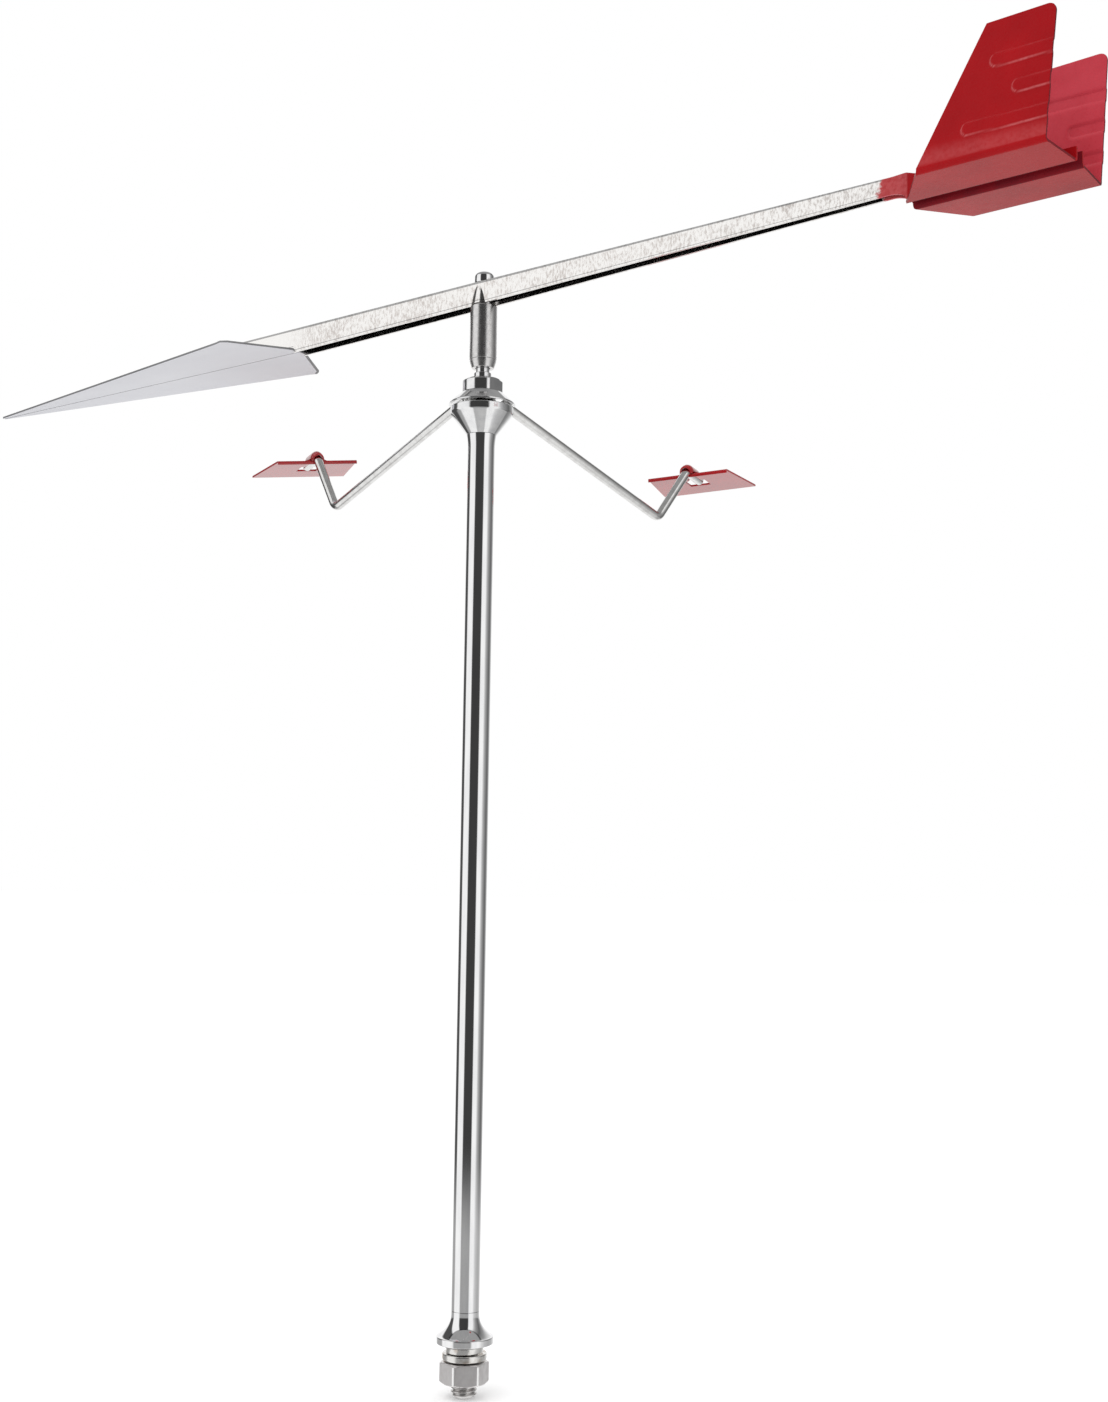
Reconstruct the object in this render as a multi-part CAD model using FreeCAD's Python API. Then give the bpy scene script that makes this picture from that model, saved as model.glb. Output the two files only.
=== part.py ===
"""Masthead wind vane: a polished pole on a threaded stud, a clamp head with two
reference arms, and a twin-strip wind arrow that turns on two small ball bearings.

Units are millimetres. +Z is up the pole. The origin is on the pole's axis, at the
underside of the foot flange. -Y is the front, and the reference arms point to the back.
"""
import FreeCAD, Part
import math
import os

from FreeCAD import Vector

# ---- pole and foot -------------------------------------------------------------
TUBE_R = 5.5
TUBE_WALL = 1.25
TUBE_TOP = 356.6
FOOT_RIM_R = 11.1
FOOT_RIM_H = 2.6
FOOT_TOP = 12.0
FOOT_SPIGOT_TOP = 24.0
STUD_R = 5.0
STUD_END = -20.0
STUD_ROOT_R = 3.9
STUD_ROOT_TOP = 9.0
STUD_SHOULDER = -0.05
STUD_GRIP_R = 4.8
STUD_GRIP_END = -15.2
STUD_CHAMFER = 0.8

# ---- fastening stack below the flange ------------------------------------------
SPRING_WASHER_IN = 5.15
SPRING_WASHER_OUT = 7.3
SPRING_WASHER_T = 2.2
SPRING_WASHER_LIFT = 1.1
FLAT_WASHER_R = 8.6
FLAT_WASHER_TOP = -3.6
FLAT_WASHER_T = 2.5
NUT_FLATS = 17.0
NUT_TOP = -6.6
NUT_H = 8.4
NUT_TURN = 5.0

# ---- clamp head ----------------------------------------------------------------
CONE_BOTTOM = 356.7
CONE_FOOT_R = 6.0
CONE_RIM_R = 12.75
CONE_RIM_BOTTOM = 365.4
CONE_TOP = 368.15
DOME_EDGE_R = 13.4
DOME_EDGE_Z = 369.1
DOME_TOP_R = 8.1
DOME_TOP = 374.1
DOME_CEILING = 372.95
HEAD_BORE_R = 2.6
INSERT_BOTTOM = 336.6
SPINDLE_THREAD_R = 2.45
SPINDLE_THREAD_END = 342.0
BOSS_R = 8.2
BOSS_FLATS = 14.0
BOSS_TURN = -38.0
BOSS_BOTTOM = 374.2
BOSS_TOP = 379.6

# ---- pivot: spindle, bearings, barrel ------------------------------------------
COLLAR_R = 3.55
COLLAR_TOP = 382.4
NECK_R = 2.75
SHAFT_R = 2.0
SHAFT_TOP = 404.6
BEARING_H = 3.0
BEARING_OUT_R = 3.97
BEARING_RACE_OUT = 3.5
BEARING_RACE_IN = 2.55
BALL_R = 0.45
BALLS = 7
LOWER_BEARING_Z = 388.4
UPPER_BEARING_Z = 399.6
BARREL_R = 5.55
BARREL_TOP_R = 5.45
BARREL_BOTTOM = 387.85
BARREL_TOP = 410.3
BORE_R = 4.0
BORE_END = 405.6
RETAINER_BOTTOM = 384.4
RETAINER_TIP_R = 4.5
SPIGOT_FOOT_R = 4.05
SPIGOT_TIP_R = 2.7
SPIGOT_TOP = 419.6
CAP_SCREW_R = 1.6
CAP_HEAD_R = 3.95
CAP_HEAD_H = 5.3

# ---- vane: two folded strips, described along u (aft), v (side) and w (up) --------
VANE_AZIMUTH = -39.6
VANE_Z = 419.85
SHEET = 0.9
NOSE_HALF = 3.66
TAIL_NECK_HALF = 2.33
TAIL_WALL_HALF = 2.97
TAIL_NECK_U = 184.0
TAIL_WALL_U = 190.4
TAIL_END_U = 251.1
TAIL_WALL_TOP = -2.2
TOP_SLOPE = 0.0141
STRIP_DEPTH = 9.3
BOTTOM_SLOPE = 0.0311
ARROW_TIP_U = -316.0
ARROW_BARB_U = -122.4
ARROW_BARB_V = 30.1
ARROW_REAR_U = -105.3
ARROW_W = -11.0
WEB_START_U = -235.0
WEB_FULL_U = -140.0
SEAM = 0.15
FIN_V = 24.2
FIN_FOOT_U = 204.4
FIN_HEEL_U = 249.3
FIN_TIP_FRONT_U = 229.1
FIN_TIP_REAR_U = 252.9
FIN_TIP_FRONT_W = 37.8
FIN_TIP_REAR_W = 38.8
FIN_LEAN = 0.0346
RIB_H = 4.6
RIB_RAISE = 0.45
RIBS = ((24.3, 230.3), (13.8, 237.9), (3.1, 220.4))
SHELF_W = -7.77
SHELF_RISE_U = 0.0193
SHELF_RISE_V = 0.0255
SHELF_MID_U = 220.0
SHELF_MID_V = 13.6

# ---- reference arms and tabs -----------------------------------------------------
ROD_R = 2.0
ROD_BEND = 3.5
EYE_R = 5.6
EYE_BORE_R = 2.8
EYE_T = 2.0
ROD_START_R = 10.6
TAB_T = 0.8
TAB_NEAR_HALF = 18.1
TAB_FAR_HALF = 21.75
TAB_LENGTH = 38.8
TAB_ROD_RISE = 1.6
TAB_ROD_END = 20.0
TAB_WINDOW = (4.0, 23.0, 4.6)
STRAP_T = 0.7
STRAP_SPAN = (4.0, 12.0)
ARM_SWING = 15.0
ARMS = {
    "left": {
        "azimuth": 130.2,
        "eye_z": 370.75,
        "start_z": 373.3,
        "elbow": (99.1, 341.1),
        "tab_at": (-73.6, 86.6, 363.9),
        "tab_yaw": 108.0,
        "tab_pitch": 1.8,
        "tab_roll": 6.2,
    },
    "right": {
        "azimuth": 38.5,
        "eye_z": 368.45,
        "start_z": 371.8,
        "elbow": (99.6, 337.2),
        "tab_at": (92.1, 72.5, 358.6),
        "tab_yaw": 67.7,
        "tab_pitch": 1.1,
        "tab_roll": 3.6,
    },
}

Z_AXIS = Vector(0, 0, 1)


# ---- helpers -----------------------------------------------------------------
def revolve(profile):
    """Solid of revolution about Z from (radius, height) points."""
    points = [Vector(radius, 0, height) for radius, height in profile]
    wire = Part.makePolygon(points + [points[0]])
    return Part.Face(wire).revolve(Vector(0, 0, 0), Z_AXIS, 360)


def disc(radius, bottom, top):
    return Part.makeCylinder(radius, top - bottom, Vector(0, 0, bottom))


def ring(inner, outer, bottom, top):
    return disc(outer, bottom, top).cut(disc(inner, bottom - 1, top + 1))


def sector(azimuth, half_angle, radius, bottom, top):
    """Pie slice about Z, centred on an azimuth in degrees."""
    start = Vector(0, 0, bottom)
    slice_ = Part.makeCylinder(radius, top - bottom, start, Z_AXIS, 2 * half_angle)
    slice_.rotate(Vector(0, 0, 0), Z_AXIS, azimuth - half_angle)
    return slice_


def plate(points, thickness):
    """Closed plate: a planar outline pushed along a vector."""
    wire = Part.makePolygon(points + [points[0]])
    return Part.Face(wire).extrude(thickness)


def polar(radius, azimuth, height):
    angle = math.radians(azimuth)
    return Vector(radius * math.cos(angle), radius * math.sin(angle), height)


def bent_rod(points, radius, bend):
    """Round rod through the points, with an arc of the given radius at each corner."""
    edges = []
    start = points[0]
    for before, corner, after in zip(points, points[1:], points[2:]):
        arrive = (corner - before).normalize()
        leave = (after - corner).normalize()
        turn = arrive.getAngle(leave)
        setback = bend * math.tan(turn / 2)
        arc_start = corner - arrive * setback
        arc_end = corner + leave * setback
        inward = (leave - arrive).normalize()
        depth = bend / math.cos(turn / 2) - bend
        arc_middle = corner + inward * depth
        edges.append(Part.makeLine(start, arc_start))
        edges.append(Part.Arc(arc_start, arc_middle, arc_end).toShape())
        start = arc_end
    edges.append(Part.makeLine(start, points[-1]))
    path = Part.Wire(edges)
    section = Part.Wire(Part.makeCircle(radius, points[0], points[1] - points[0]))
    return path.makePipeShell([section], True, False)


def save(name, shape):
    """Write one node, as the plain solids that it is made of."""
    solids = shape.Solids
    for solid in solids:
        if not solid.isValid():
            raise RuntimeError(name + " is not a valid solid")
    body = solids[0] if len(solids) == 1 else Part.makeCompound(solids)
    body.exportStep("parts/" + name + ".step")
    print(name, len(solids), "solid(s)", round(sum(s.Volume for s in solids), 1), "mm3")


# ---- pole and foot -------------------------------------------------------------
def pole_tube():
    inner = TUBE_R - TUBE_WALL
    return ring(inner, TUBE_R, FOOT_TOP + 0.1, TUBE_TOP)


def foot_flange():
    """Trumpet foot with a thin rim, a socket for the stud and a spigot for the tube."""
    spigot_r = TUBE_R - TUBE_WALL - 0.05
    shoulder = Vector(FOOT_RIM_R - 0.6, 0, FOOT_RIM_H + 0.2)
    throat = Vector(7.1, 0, 5.2)
    neck = Vector(TUBE_R, 0, FOOT_TOP - 1.0)
    outline = [
        Part.makeLine(Vector(STUD_ROOT_R, 0, 0), Vector(FOOT_RIM_R - 0.2, 0, 0)),
        Part.makeLine(Vector(FOOT_RIM_R - 0.2, 0, 0), Vector(FOOT_RIM_R, 0, 0.2)),
        Part.makeLine(Vector(FOOT_RIM_R, 0, 0.2), Vector(FOOT_RIM_R, 0, FOOT_RIM_H)),
        Part.makeLine(Vector(FOOT_RIM_R, 0, FOOT_RIM_H), shoulder),
        Part.Arc(shoulder, throat, neck).toShape(),
        Part.makeLine(neck, Vector(TUBE_R, 0, FOOT_TOP)),
        Part.makeLine(Vector(TUBE_R, 0, FOOT_TOP), Vector(spigot_r, 0, FOOT_TOP)),
        Part.makeLine(Vector(spigot_r, 0, FOOT_TOP), Vector(spigot_r, 0, FOOT_SPIGOT_TOP)),
        Part.makeLine(Vector(spigot_r, 0, FOOT_SPIGOT_TOP), Vector(0, 0, FOOT_SPIGOT_TOP)),
        Part.makeLine(Vector(0, 0, FOOT_SPIGOT_TOP), Vector(0, 0, STUD_ROOT_TOP)),
        Part.makeLine(Vector(0, 0, STUD_ROOT_TOP), Vector(STUD_ROOT_R, 0, STUD_ROOT_TOP)),
        Part.makeLine(Vector(STUD_ROOT_R, 0, STUD_ROOT_TOP), Vector(STUD_ROOT_R, 0, 0)),
    ]
    return Part.Face(Part.Wire(outline)).revolve(Vector(0, 0, 0), Z_AXIS, 360)


def mounting_stud():
    """Stud: a root in the flange, the length the nut grips and the full thread below it."""
    root_r = STUD_ROOT_R - 0.02
    root_top = STUD_ROOT_TOP - 0.1
    return revolve([
        (0, root_top), (root_r, root_top), (root_r, STUD_SHOULDER),
        (STUD_GRIP_R, STUD_SHOULDER), (STUD_GRIP_R, STUD_GRIP_END),
        (STUD_R, STUD_GRIP_END), (STUD_R, STUD_END + STUD_CHAMFER),
        (STUD_R - STUD_CHAMFER, STUD_END), (0, STUD_END),
    ])


def spring_lock_washer():
    """Split ring, one turn of square section that rises by its free lift."""
    middle = (SPRING_WASHER_IN + SPRING_WASHER_OUT) / 2
    half_w = (SPRING_WASHER_OUT - SPRING_WASHER_IN) / 2
    lowest = FLAT_WASHER_TOP + 0.1
    spine = Part.makeHelix(SPRING_WASHER_LIFT, SPRING_WASHER_LIFT * 0.96, middle)
    corners = [
        Vector(middle - half_w, 0, 0), Vector(middle + half_w, 0, 0),
        Vector(middle + half_w, 0, SPRING_WASHER_T), Vector(middle - half_w, 0, SPRING_WASHER_T),
    ]
    section = Part.makePolygon(corners + [corners[0]])
    washer = Part.Wire(spine).makePipeShell([section], True, True)
    washer.rotate(Vector(0, 0, 0), Z_AXIS, 195)
    washer.translate(Vector(0, 0, lowest))
    return washer


def flat_washer():
    bottom = FLAT_WASHER_TOP - FLAT_WASHER_T
    blank = ring(STUD_R + 0.25, FLAT_WASHER_R, bottom, FLAT_WASHER_TOP)
    rims = [e for e in blank.Edges if abs(e.BoundBox.XMax - FLAT_WASHER_R) < 0.01
            and e.BoundBox.ZLength < 0.01]
    return blank.makeFillet(0.4, rims)


def hex_nut():
    """Hexagon nut with chamfered corners, one flat turned a little off the front."""
    corner_r = NUT_FLATS / math.sqrt(3)
    bottom = NUT_TOP - NUT_H
    corners = [polar(corner_r, 60 * i, bottom) for i in range(6)]
    prism = plate(corners, Vector(0, 0, NUT_H))
    face_r = NUT_FLATS / 2 - 0.2
    drop = (corner_r - face_r) * math.tan(math.radians(28))
    envelope = revolve([
        (0, bottom), (face_r, bottom), (corner_r, bottom + drop),
        (corner_r, NUT_TOP - drop), (face_r, NUT_TOP), (0, NUT_TOP),
    ])
    nut = prism.common(envelope)
    nut.rotate(Vector(0, 0, 0), Z_AXIS, NUT_TURN)
    return nut.cut(disc(STUD_GRIP_R + 0.02, bottom - 1, NUT_TOP + 1))


# ---- clamp head ----------------------------------------------------------------
def head_insert():
    outer = TUBE_R - TUBE_WALL - 0.05
    return ring(SPINDLE_THREAD_R + 0.03, outer, INSERT_BOTTOM, TUBE_TOP)


def head_cone():
    return revolve([
        (HEAD_BORE_R, CONE_BOTTOM), (CONE_FOOT_R, CONE_BOTTOM),
        (CONE_RIM_R - 0.3, CONE_RIM_BOTTOM - 0.25), (CONE_RIM_R, CONE_RIM_BOTTOM),
        (CONE_RIM_R, CONE_TOP - 0.3), (CONE_RIM_R - 0.3, CONE_TOP), (HEAD_BORE_R, CONE_TOP),
    ])


def clamp_dome_washer():
    """Domed clamp washer, with two windows in its skirt where the arms pass."""
    dome = revolve([
        (HEAD_BORE_R, DOME_TOP), (DOME_TOP_R, DOME_TOP), (DOME_EDGE_R, DOME_EDGE_Z + 0.5),
        (DOME_EDGE_R, DOME_EDGE_Z), (DOME_EDGE_R - 0.6, DOME_EDGE_Z),
        (DOME_TOP_R - 0.3, DOME_CEILING), (HEAD_BORE_R, DOME_CEILING),
    ])
    rod_half_angle = math.degrees(math.asin((ROD_R + 0.4) / DOME_TOP_R))
    window_half_angle = rod_half_angle + ARM_SWING + 1.0
    hub = disc(DOME_TOP_R - 0.2, DOME_EDGE_Z - 1, DOME_TOP + 1)
    for arm in ARMS.values():
        slot = sector(arm["azimuth"], window_half_angle, DOME_EDGE_R + 1,
                      DOME_EDGE_Z - 1, DOME_TOP + 1)
        dome = dome.cut(slot.cut(hub))
    return dome


def pivot_spindle():
    """Thread, boss with two wrench flats, collar, neck and bearing shaft in one piece."""
    groove_z = UPPER_BEARING_Z + BEARING_H + 0.15
    spindle = revolve([
        (0, SPINDLE_THREAD_END), (SPINDLE_THREAD_R - 0.4, SPINDLE_THREAD_END),
        (SPINDLE_THREAD_R, SPINDLE_THREAD_END + 0.6), (SPINDLE_THREAD_R, BOSS_BOTTOM),
        (BOSS_R, BOSS_BOTTOM), (BOSS_R, BOSS_TOP - 0.9), (BOSS_R - 1.2, BOSS_TOP),
        (COLLAR_R, BOSS_TOP), (COLLAR_R, COLLAR_TOP - 0.4), (COLLAR_R - 0.4, COLLAR_TOP),
        (NECK_R, COLLAR_TOP), (NECK_R, LOWER_BEARING_Z - 0.05), (SHAFT_R, LOWER_BEARING_Z - 0.05),
        (SHAFT_R, groove_z), (SHAFT_R - 0.4, groove_z), (SHAFT_R - 0.4, groove_z + 0.7),
        (SHAFT_R, groove_z + 0.7), (SHAFT_R, SHAFT_TOP - 0.4), (SHAFT_R - 0.4, SHAFT_TOP),
        (0, SHAFT_TOP),
    ])
    for side in (0, 180):
        cutter = Part.makeBox(5, 30, BOSS_TOP - BOSS_BOTTOM,
                              Vector(BOSS_FLATS / 2, -15, BOSS_BOTTOM))
        cutter.rotate(Vector(0, 0, 0), Z_AXIS, side + BOSS_TURN)
        spindle = spindle.cut(cutter)
    return spindle


# ---- pivot bearings and barrel ---------------------------------------------------
def bearing_inner_ring(bottom):
    return ring(SHAFT_R + 0.01, BEARING_RACE_IN, bottom, bottom + BEARING_H)


def bearing_outer_ring(bottom):
    return ring(BEARING_RACE_OUT, BEARING_OUT_R, bottom, bottom + BEARING_H)


def bearing_balls():
    """One row of balls in each bearing."""
    track_r = (BEARING_RACE_IN + BEARING_RACE_OUT) / 2
    balls = []
    for bottom in (LOWER_BEARING_Z, UPPER_BEARING_Z):
        for i in range(BALLS):
            centre = polar(track_r, 360 * i / BALLS, bottom + BEARING_H / 2)
            balls.append(Part.makeSphere(BALL_R, centre))
    return Part.makeCompound(balls)


def bearing_spacer():
    bottom = LOWER_BEARING_Z + BEARING_H + 0.05
    return ring(SHAFT_R + 0.02, SHAFT_R + 0.5, bottom, UPPER_BEARING_Z - 0.05)


def spindle_circlip():
    """Open retaining ring in the groove above the upper bearing."""
    bottom = UPPER_BEARING_Z + BEARING_H + 0.2
    clip = ring(SHAFT_R - 0.35, SHAFT_R + 0.9, bottom, bottom + 0.6)
    gap = Part.makeBox(5, 1.4, 2, Vector(0, -0.7, bottom - 0.5))
    return clip.cut(gap)


def bearing_barrel():
    """Barrel over the bearings, necked to the tapered spigot that the strips clasp."""
    shoulder = UPPER_BEARING_Z + BEARING_H + 0.05
    screw_r = CAP_SCREW_R + 0.02
    screw_end = 411.0
    return revolve([
        (BORE_R, BARREL_BOTTOM), (BARREL_R, BARREL_BOTTOM), (BARREL_TOP_R, BARREL_TOP - 0.3),
        (BARREL_TOP_R - 0.3, BARREL_TOP), (SPIGOT_FOOT_R, BARREL_TOP),
        (SPIGOT_TIP_R, SPIGOT_TOP), (screw_r, SPIGOT_TOP), (screw_r, screw_end),
        (0, screw_end), (0, BORE_END), (BORE_R - 0.6, BORE_END), (BORE_R - 0.6, shoulder),
        (BORE_R, shoulder),
    ])


def bearing_retainer():
    """Tapered collar pressed into the mouth of the barrel under the lower bearing."""
    bore = NECK_R + 0.25
    lip = LOWER_BEARING_Z - 0.05
    return revolve([
        (bore, RETAINER_BOTTOM), (RETAINER_TIP_R - 0.3, RETAINER_BOTTOM),
        (RETAINER_TIP_R, RETAINER_BOTTOM + 0.3), (BARREL_R - 0.15, BARREL_BOTTOM - 0.5),
        (BARREL_R - 0.15, BARREL_BOTTOM - 0.05), (BORE_R - 0.05, BARREL_BOTTOM - 0.05),
        (BORE_R - 0.05, lip), (bore, lip),
    ])


def pivot_cap_screw():
    """Pan-head screw that closes the top of the spigot."""
    seat = VANE_Z + 0.1
    crown = Vector(0, 0, seat + CAP_HEAD_H)
    shoulder = Vector(CAP_HEAD_R, 0, seat + CAP_HEAD_H * 0.42)
    swell = Vector(CAP_HEAD_R * 0.72, 0, seat + CAP_HEAD_H * 0.86)
    shank_end = Vector(0, 0, seat - 8)
    outline = [
        Part.makeLine(shank_end, Vector(CAP_SCREW_R, 0, seat - 8)),
        Part.makeLine(Vector(CAP_SCREW_R, 0, seat - 8), Vector(CAP_SCREW_R, 0, seat)),
        Part.makeLine(Vector(CAP_SCREW_R, 0, seat), Vector(CAP_HEAD_R - 0.2, 0, seat)),
        Part.makeLine(Vector(CAP_HEAD_R - 0.2, 0, seat), shoulder),
        Part.Arc(shoulder, swell, crown).toShape(),
        Part.makeLine(crown, shank_end),
    ]
    screw = Part.Face(Part.Wire(outline)).revolve(Vector(0, 0, 0), Z_AXIS, 360)
    recess = Part.makeBox(3.6, 0.8, 2.2, Vector(-1.8, -0.4, seat + CAP_HEAD_H - 1.4))
    cross = recess.copy()
    cross.rotate(Vector(0, 0, 0), Z_AXIS, 90)
    return screw.cut(recess).cut(cross)


# ---- vane ----------------------------------------------------------------------
def strip_plate(outline, half_start, half_end):
    """Upright plate of one strip; its outer face runs from one half-width to another."""
    first = min(u for u, w in outline)
    last = max(u for u, w in outline)
    points = []
    for u, w in outline:
        share = (u - first) / (last - first)
        half = half_start + (half_end - half_start) * share
        points.append(Vector(u, -half, w))
    return plate(points, Vector(0, SHEET, 0))


def strip_top(u):
    return TOP_SLOPE * u


def strip_bottom(u):
    return BOTTOM_SLOPE * u - STRIP_DEPTH


def shelf_height(u, v):
    return SHELF_W + SHELF_RISE_U * (u - SHELF_MID_U) + SHELF_RISE_V * (abs(v) - SHELF_MID_V)


def fin_side(w):
    return -FIN_V + FIN_LEAN * (w - SHELF_W)


def fin_rib(middle, front):
    """Raised rib on the outside of a fin, round at the front and open at the rear edge."""
    half = RIB_H / 2
    centre_u = front + half
    outline = []
    for step in range(9):
        angle = math.radians(90 + 22.5 * step)
        outline.append((centre_u + half * math.cos(angle), middle + half * math.sin(angle)))
    for w in (middle - half, middle + half):
        share = (w - SHELF_W) / (FIN_TIP_REAR_W - SHELF_W)
        rear = FIN_HEEL_U + (FIN_TIP_REAR_U - FIN_HEEL_U) * share
        outline.append((rear - 0.3, w))
    points = [Vector(u, fin_side(w) - RIB_RAISE, w) for u, w in outline]
    return plate(points, Vector(0, RIB_RAISE + SHEET / 2, 0))


def vane_half():
    """The near half: arrow blade, strip, tail wall, shelf and fin folded from one sheet."""
    arrow_top = ARROW_W + SHEET
    neck_foot = strip_bottom(TAIL_NECK_U)
    tail_foot = shelf_height(TAIL_WALL_U, TAIL_WALL_HALF)
    heel_foot = shelf_height(TAIL_END_U, TAIL_WALL_HALF)
    nose = strip_plate([
        (WEB_START_U, arrow_top - 0.2), (ARROW_REAR_U, arrow_top - 0.2),
        (ARROW_REAR_U, strip_bottom(ARROW_REAR_U) + 0.6), (0, strip_bottom(0)),
        (0, strip_top(0)), (WEB_FULL_U, strip_top(WEB_FULL_U)), (WEB_START_U, arrow_top + 0.5),
    ], NOSE_HALF, NOSE_HALF)
    boom = strip_plate([
        (0, strip_bottom(0)), (TAIL_NECK_U, neck_foot),
        (TAIL_NECK_U, strip_top(TAIL_NECK_U)), (0, strip_top(0)),
    ], NOSE_HALF, TAIL_NECK_HALF)
    joggle = strip_plate([
        (TAIL_NECK_U, neck_foot), (TAIL_WALL_U, tail_foot),
        (TAIL_WALL_U, strip_top(TAIL_WALL_U)), (TAIL_NECK_U, strip_top(TAIL_NECK_U)),
    ], TAIL_NECK_HALF, TAIL_WALL_HALF)
    tail_wall = strip_plate([
        (TAIL_WALL_U, tail_foot), (TAIL_END_U, heel_foot), (TAIL_END_U, TAIL_WALL_TOP),
        (TAIL_WALL_U + 16, TAIL_WALL_TOP), (TAIL_WALL_U, strip_top(TAIL_WALL_U)),
    ], TAIL_WALL_HALF, TAIL_WALL_HALF)
    shelf_corners = [
        (TAIL_WALL_U, -TAIL_WALL_HALF), (TAIL_END_U, -TAIL_WALL_HALF),
        (FIN_HEEL_U, -FIN_V), (FIN_FOOT_U, -FIN_V),
    ]
    shelf = plate([Vector(u, v, shelf_height(u, v)) for u, v in shelf_corners],
                  Vector(0, 0, SHEET))
    heel_w = shelf_height(FIN_HEEL_U, FIN_V)
    foot_w = shelf_height(FIN_FOOT_U, FIN_V)
    fin_corners = [
        (FIN_FOOT_U, foot_w), (FIN_HEEL_U, heel_w), (FIN_TIP_REAR_U, FIN_TIP_REAR_W - 3),
        (FIN_TIP_REAR_U - 0.8, FIN_TIP_REAR_W - 0.9), (FIN_TIP_REAR_U - 3, FIN_TIP_REAR_W),
        (FIN_TIP_FRONT_U, FIN_TIP_FRONT_W),
    ]
    fin = plate([Vector(u, fin_side(w), w) for u, w in fin_corners], Vector(0, SHEET, 0))
    ribs = [fin_rib(middle, front) for middle, front in RIBS]
    blade = plate([
        Vector(ARROW_TIP_U, -SEAM, ARROW_W), Vector(ARROW_TIP_U, -SEAM - 0.9, ARROW_W),
        Vector(ARROW_BARB_U - 5, -ARROW_BARB_V + 1.0, ARROW_W),
        Vector(ARROW_BARB_U - 1.5, -ARROW_BARB_V, ARROW_W),
        Vector(ARROW_BARB_U + 1.5, -ARROW_BARB_V + 1.8, ARROW_W),
        Vector(ARROW_REAR_U, -NOSE_HALF, ARROW_W), Vector(ARROW_REAR_U, -SEAM, ARROW_W),
    ], Vector(0, 0, SHEET))
    sheet = nose.multiFuse([boom, joggle, tail_wall, shelf, fin, blade] + ribs)
    return with_pivot_bulge(sheet).removeSplitter()


def with_pivot_bulge(sheet):
    """Press the strip outwards into a half cone that clasps the spigot."""
    foot = strip_bottom(0)
    crown = -1.2
    inner_foot = SPIGOT_FOOT_R + 0.1
    inner_tip = SPIGOT_TIP_R + 0.12
    height = crown - foot
    outer = Part.makeCone(inner_foot + SHEET, inner_tip + SHEET - 0.1, height, Vector(0, 0, foot))
    side = Part.makeBox(20, 10, 20, Vector(-10, -10 - (NOSE_HALF - SHEET), foot - 1))
    spread = inner_tip - inner_foot
    inner = Part.makeCone(inner_foot - spread / height, inner_tip + spread / height,
                          height + 2, Vector(0, 0, foot - 1))
    return sheet.fuse(outer.common(side)).cut(inner)


def place_vane(shape):
    shape.rotate(Vector(0, 0, 0), Z_AXIS, VANE_AZIMUTH)
    shape.translate(Vector(0, 0, VANE_Z))
    return shape


def vane_half_near():
    return place_vane(vane_half())


def vane_half_far():
    mirrored = vane_half().mirror(Vector(0, 0, 0), Vector(0, 1, 0))
    return place_vane(mirrored)


# ---- reference arms and tabs -----------------------------------------------------
def tab_placement(arm):
    """Local frame of a tab: +X runs from its near edge to its far edge, +Z is up."""
    turn = FreeCAD.Rotation(Z_AXIS, arm["tab_yaw"])
    pitch = FreeCAD.Rotation(Vector(0, 1, 0), -arm["tab_pitch"])
    roll = FreeCAD.Rotation(Vector(1, 0, 0), -arm["tab_roll"])
    return FreeCAD.Placement(Vector(*arm["tab_at"]), turn * pitch * roll)


def arm_rod(arm):
    """Eye, riser and tab end bent from one round rod."""
    start = polar(ROD_START_R, arm["azimuth"], arm["start_z"])
    elbow_r, elbow_z = arm["elbow"]
    elbow = polar(elbow_r, arm["azimuth"], elbow_z)
    frame = tab_placement(arm)
    knee = frame.multVec(Vector(-0.6, 0, TAB_ROD_RISE))
    end = frame.multVec(Vector(TAB_ROD_END, 0, TAB_ROD_RISE))
    rod = bent_rod([start, elbow, knee, end], ROD_R, ROD_BEND)
    bottom = arm["eye_z"]
    eye = disc(EYE_R, bottom, bottom + EYE_T)
    neck = Part.makeBox(ROD_START_R, 2 * ROD_R, EYE_T, Vector(0, -ROD_R, bottom))
    neck.rotate(Vector(0, 0, 0), Z_AXIS, arm["azimuth"])
    root = polar(ROD_START_R, arm["azimuth"], bottom)
    post = Part.makeCylinder(ROD_R, arm["start_z"] - bottom, root)
    knuckle = Part.makeSphere(ROD_R, start)
    bore = disc(EYE_BORE_R, bottom - 1, bottom + EYE_T + 1)
    return rod.multiFuse([eye, neck, post, knuckle]).cut(bore).removeSplitter()


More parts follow.
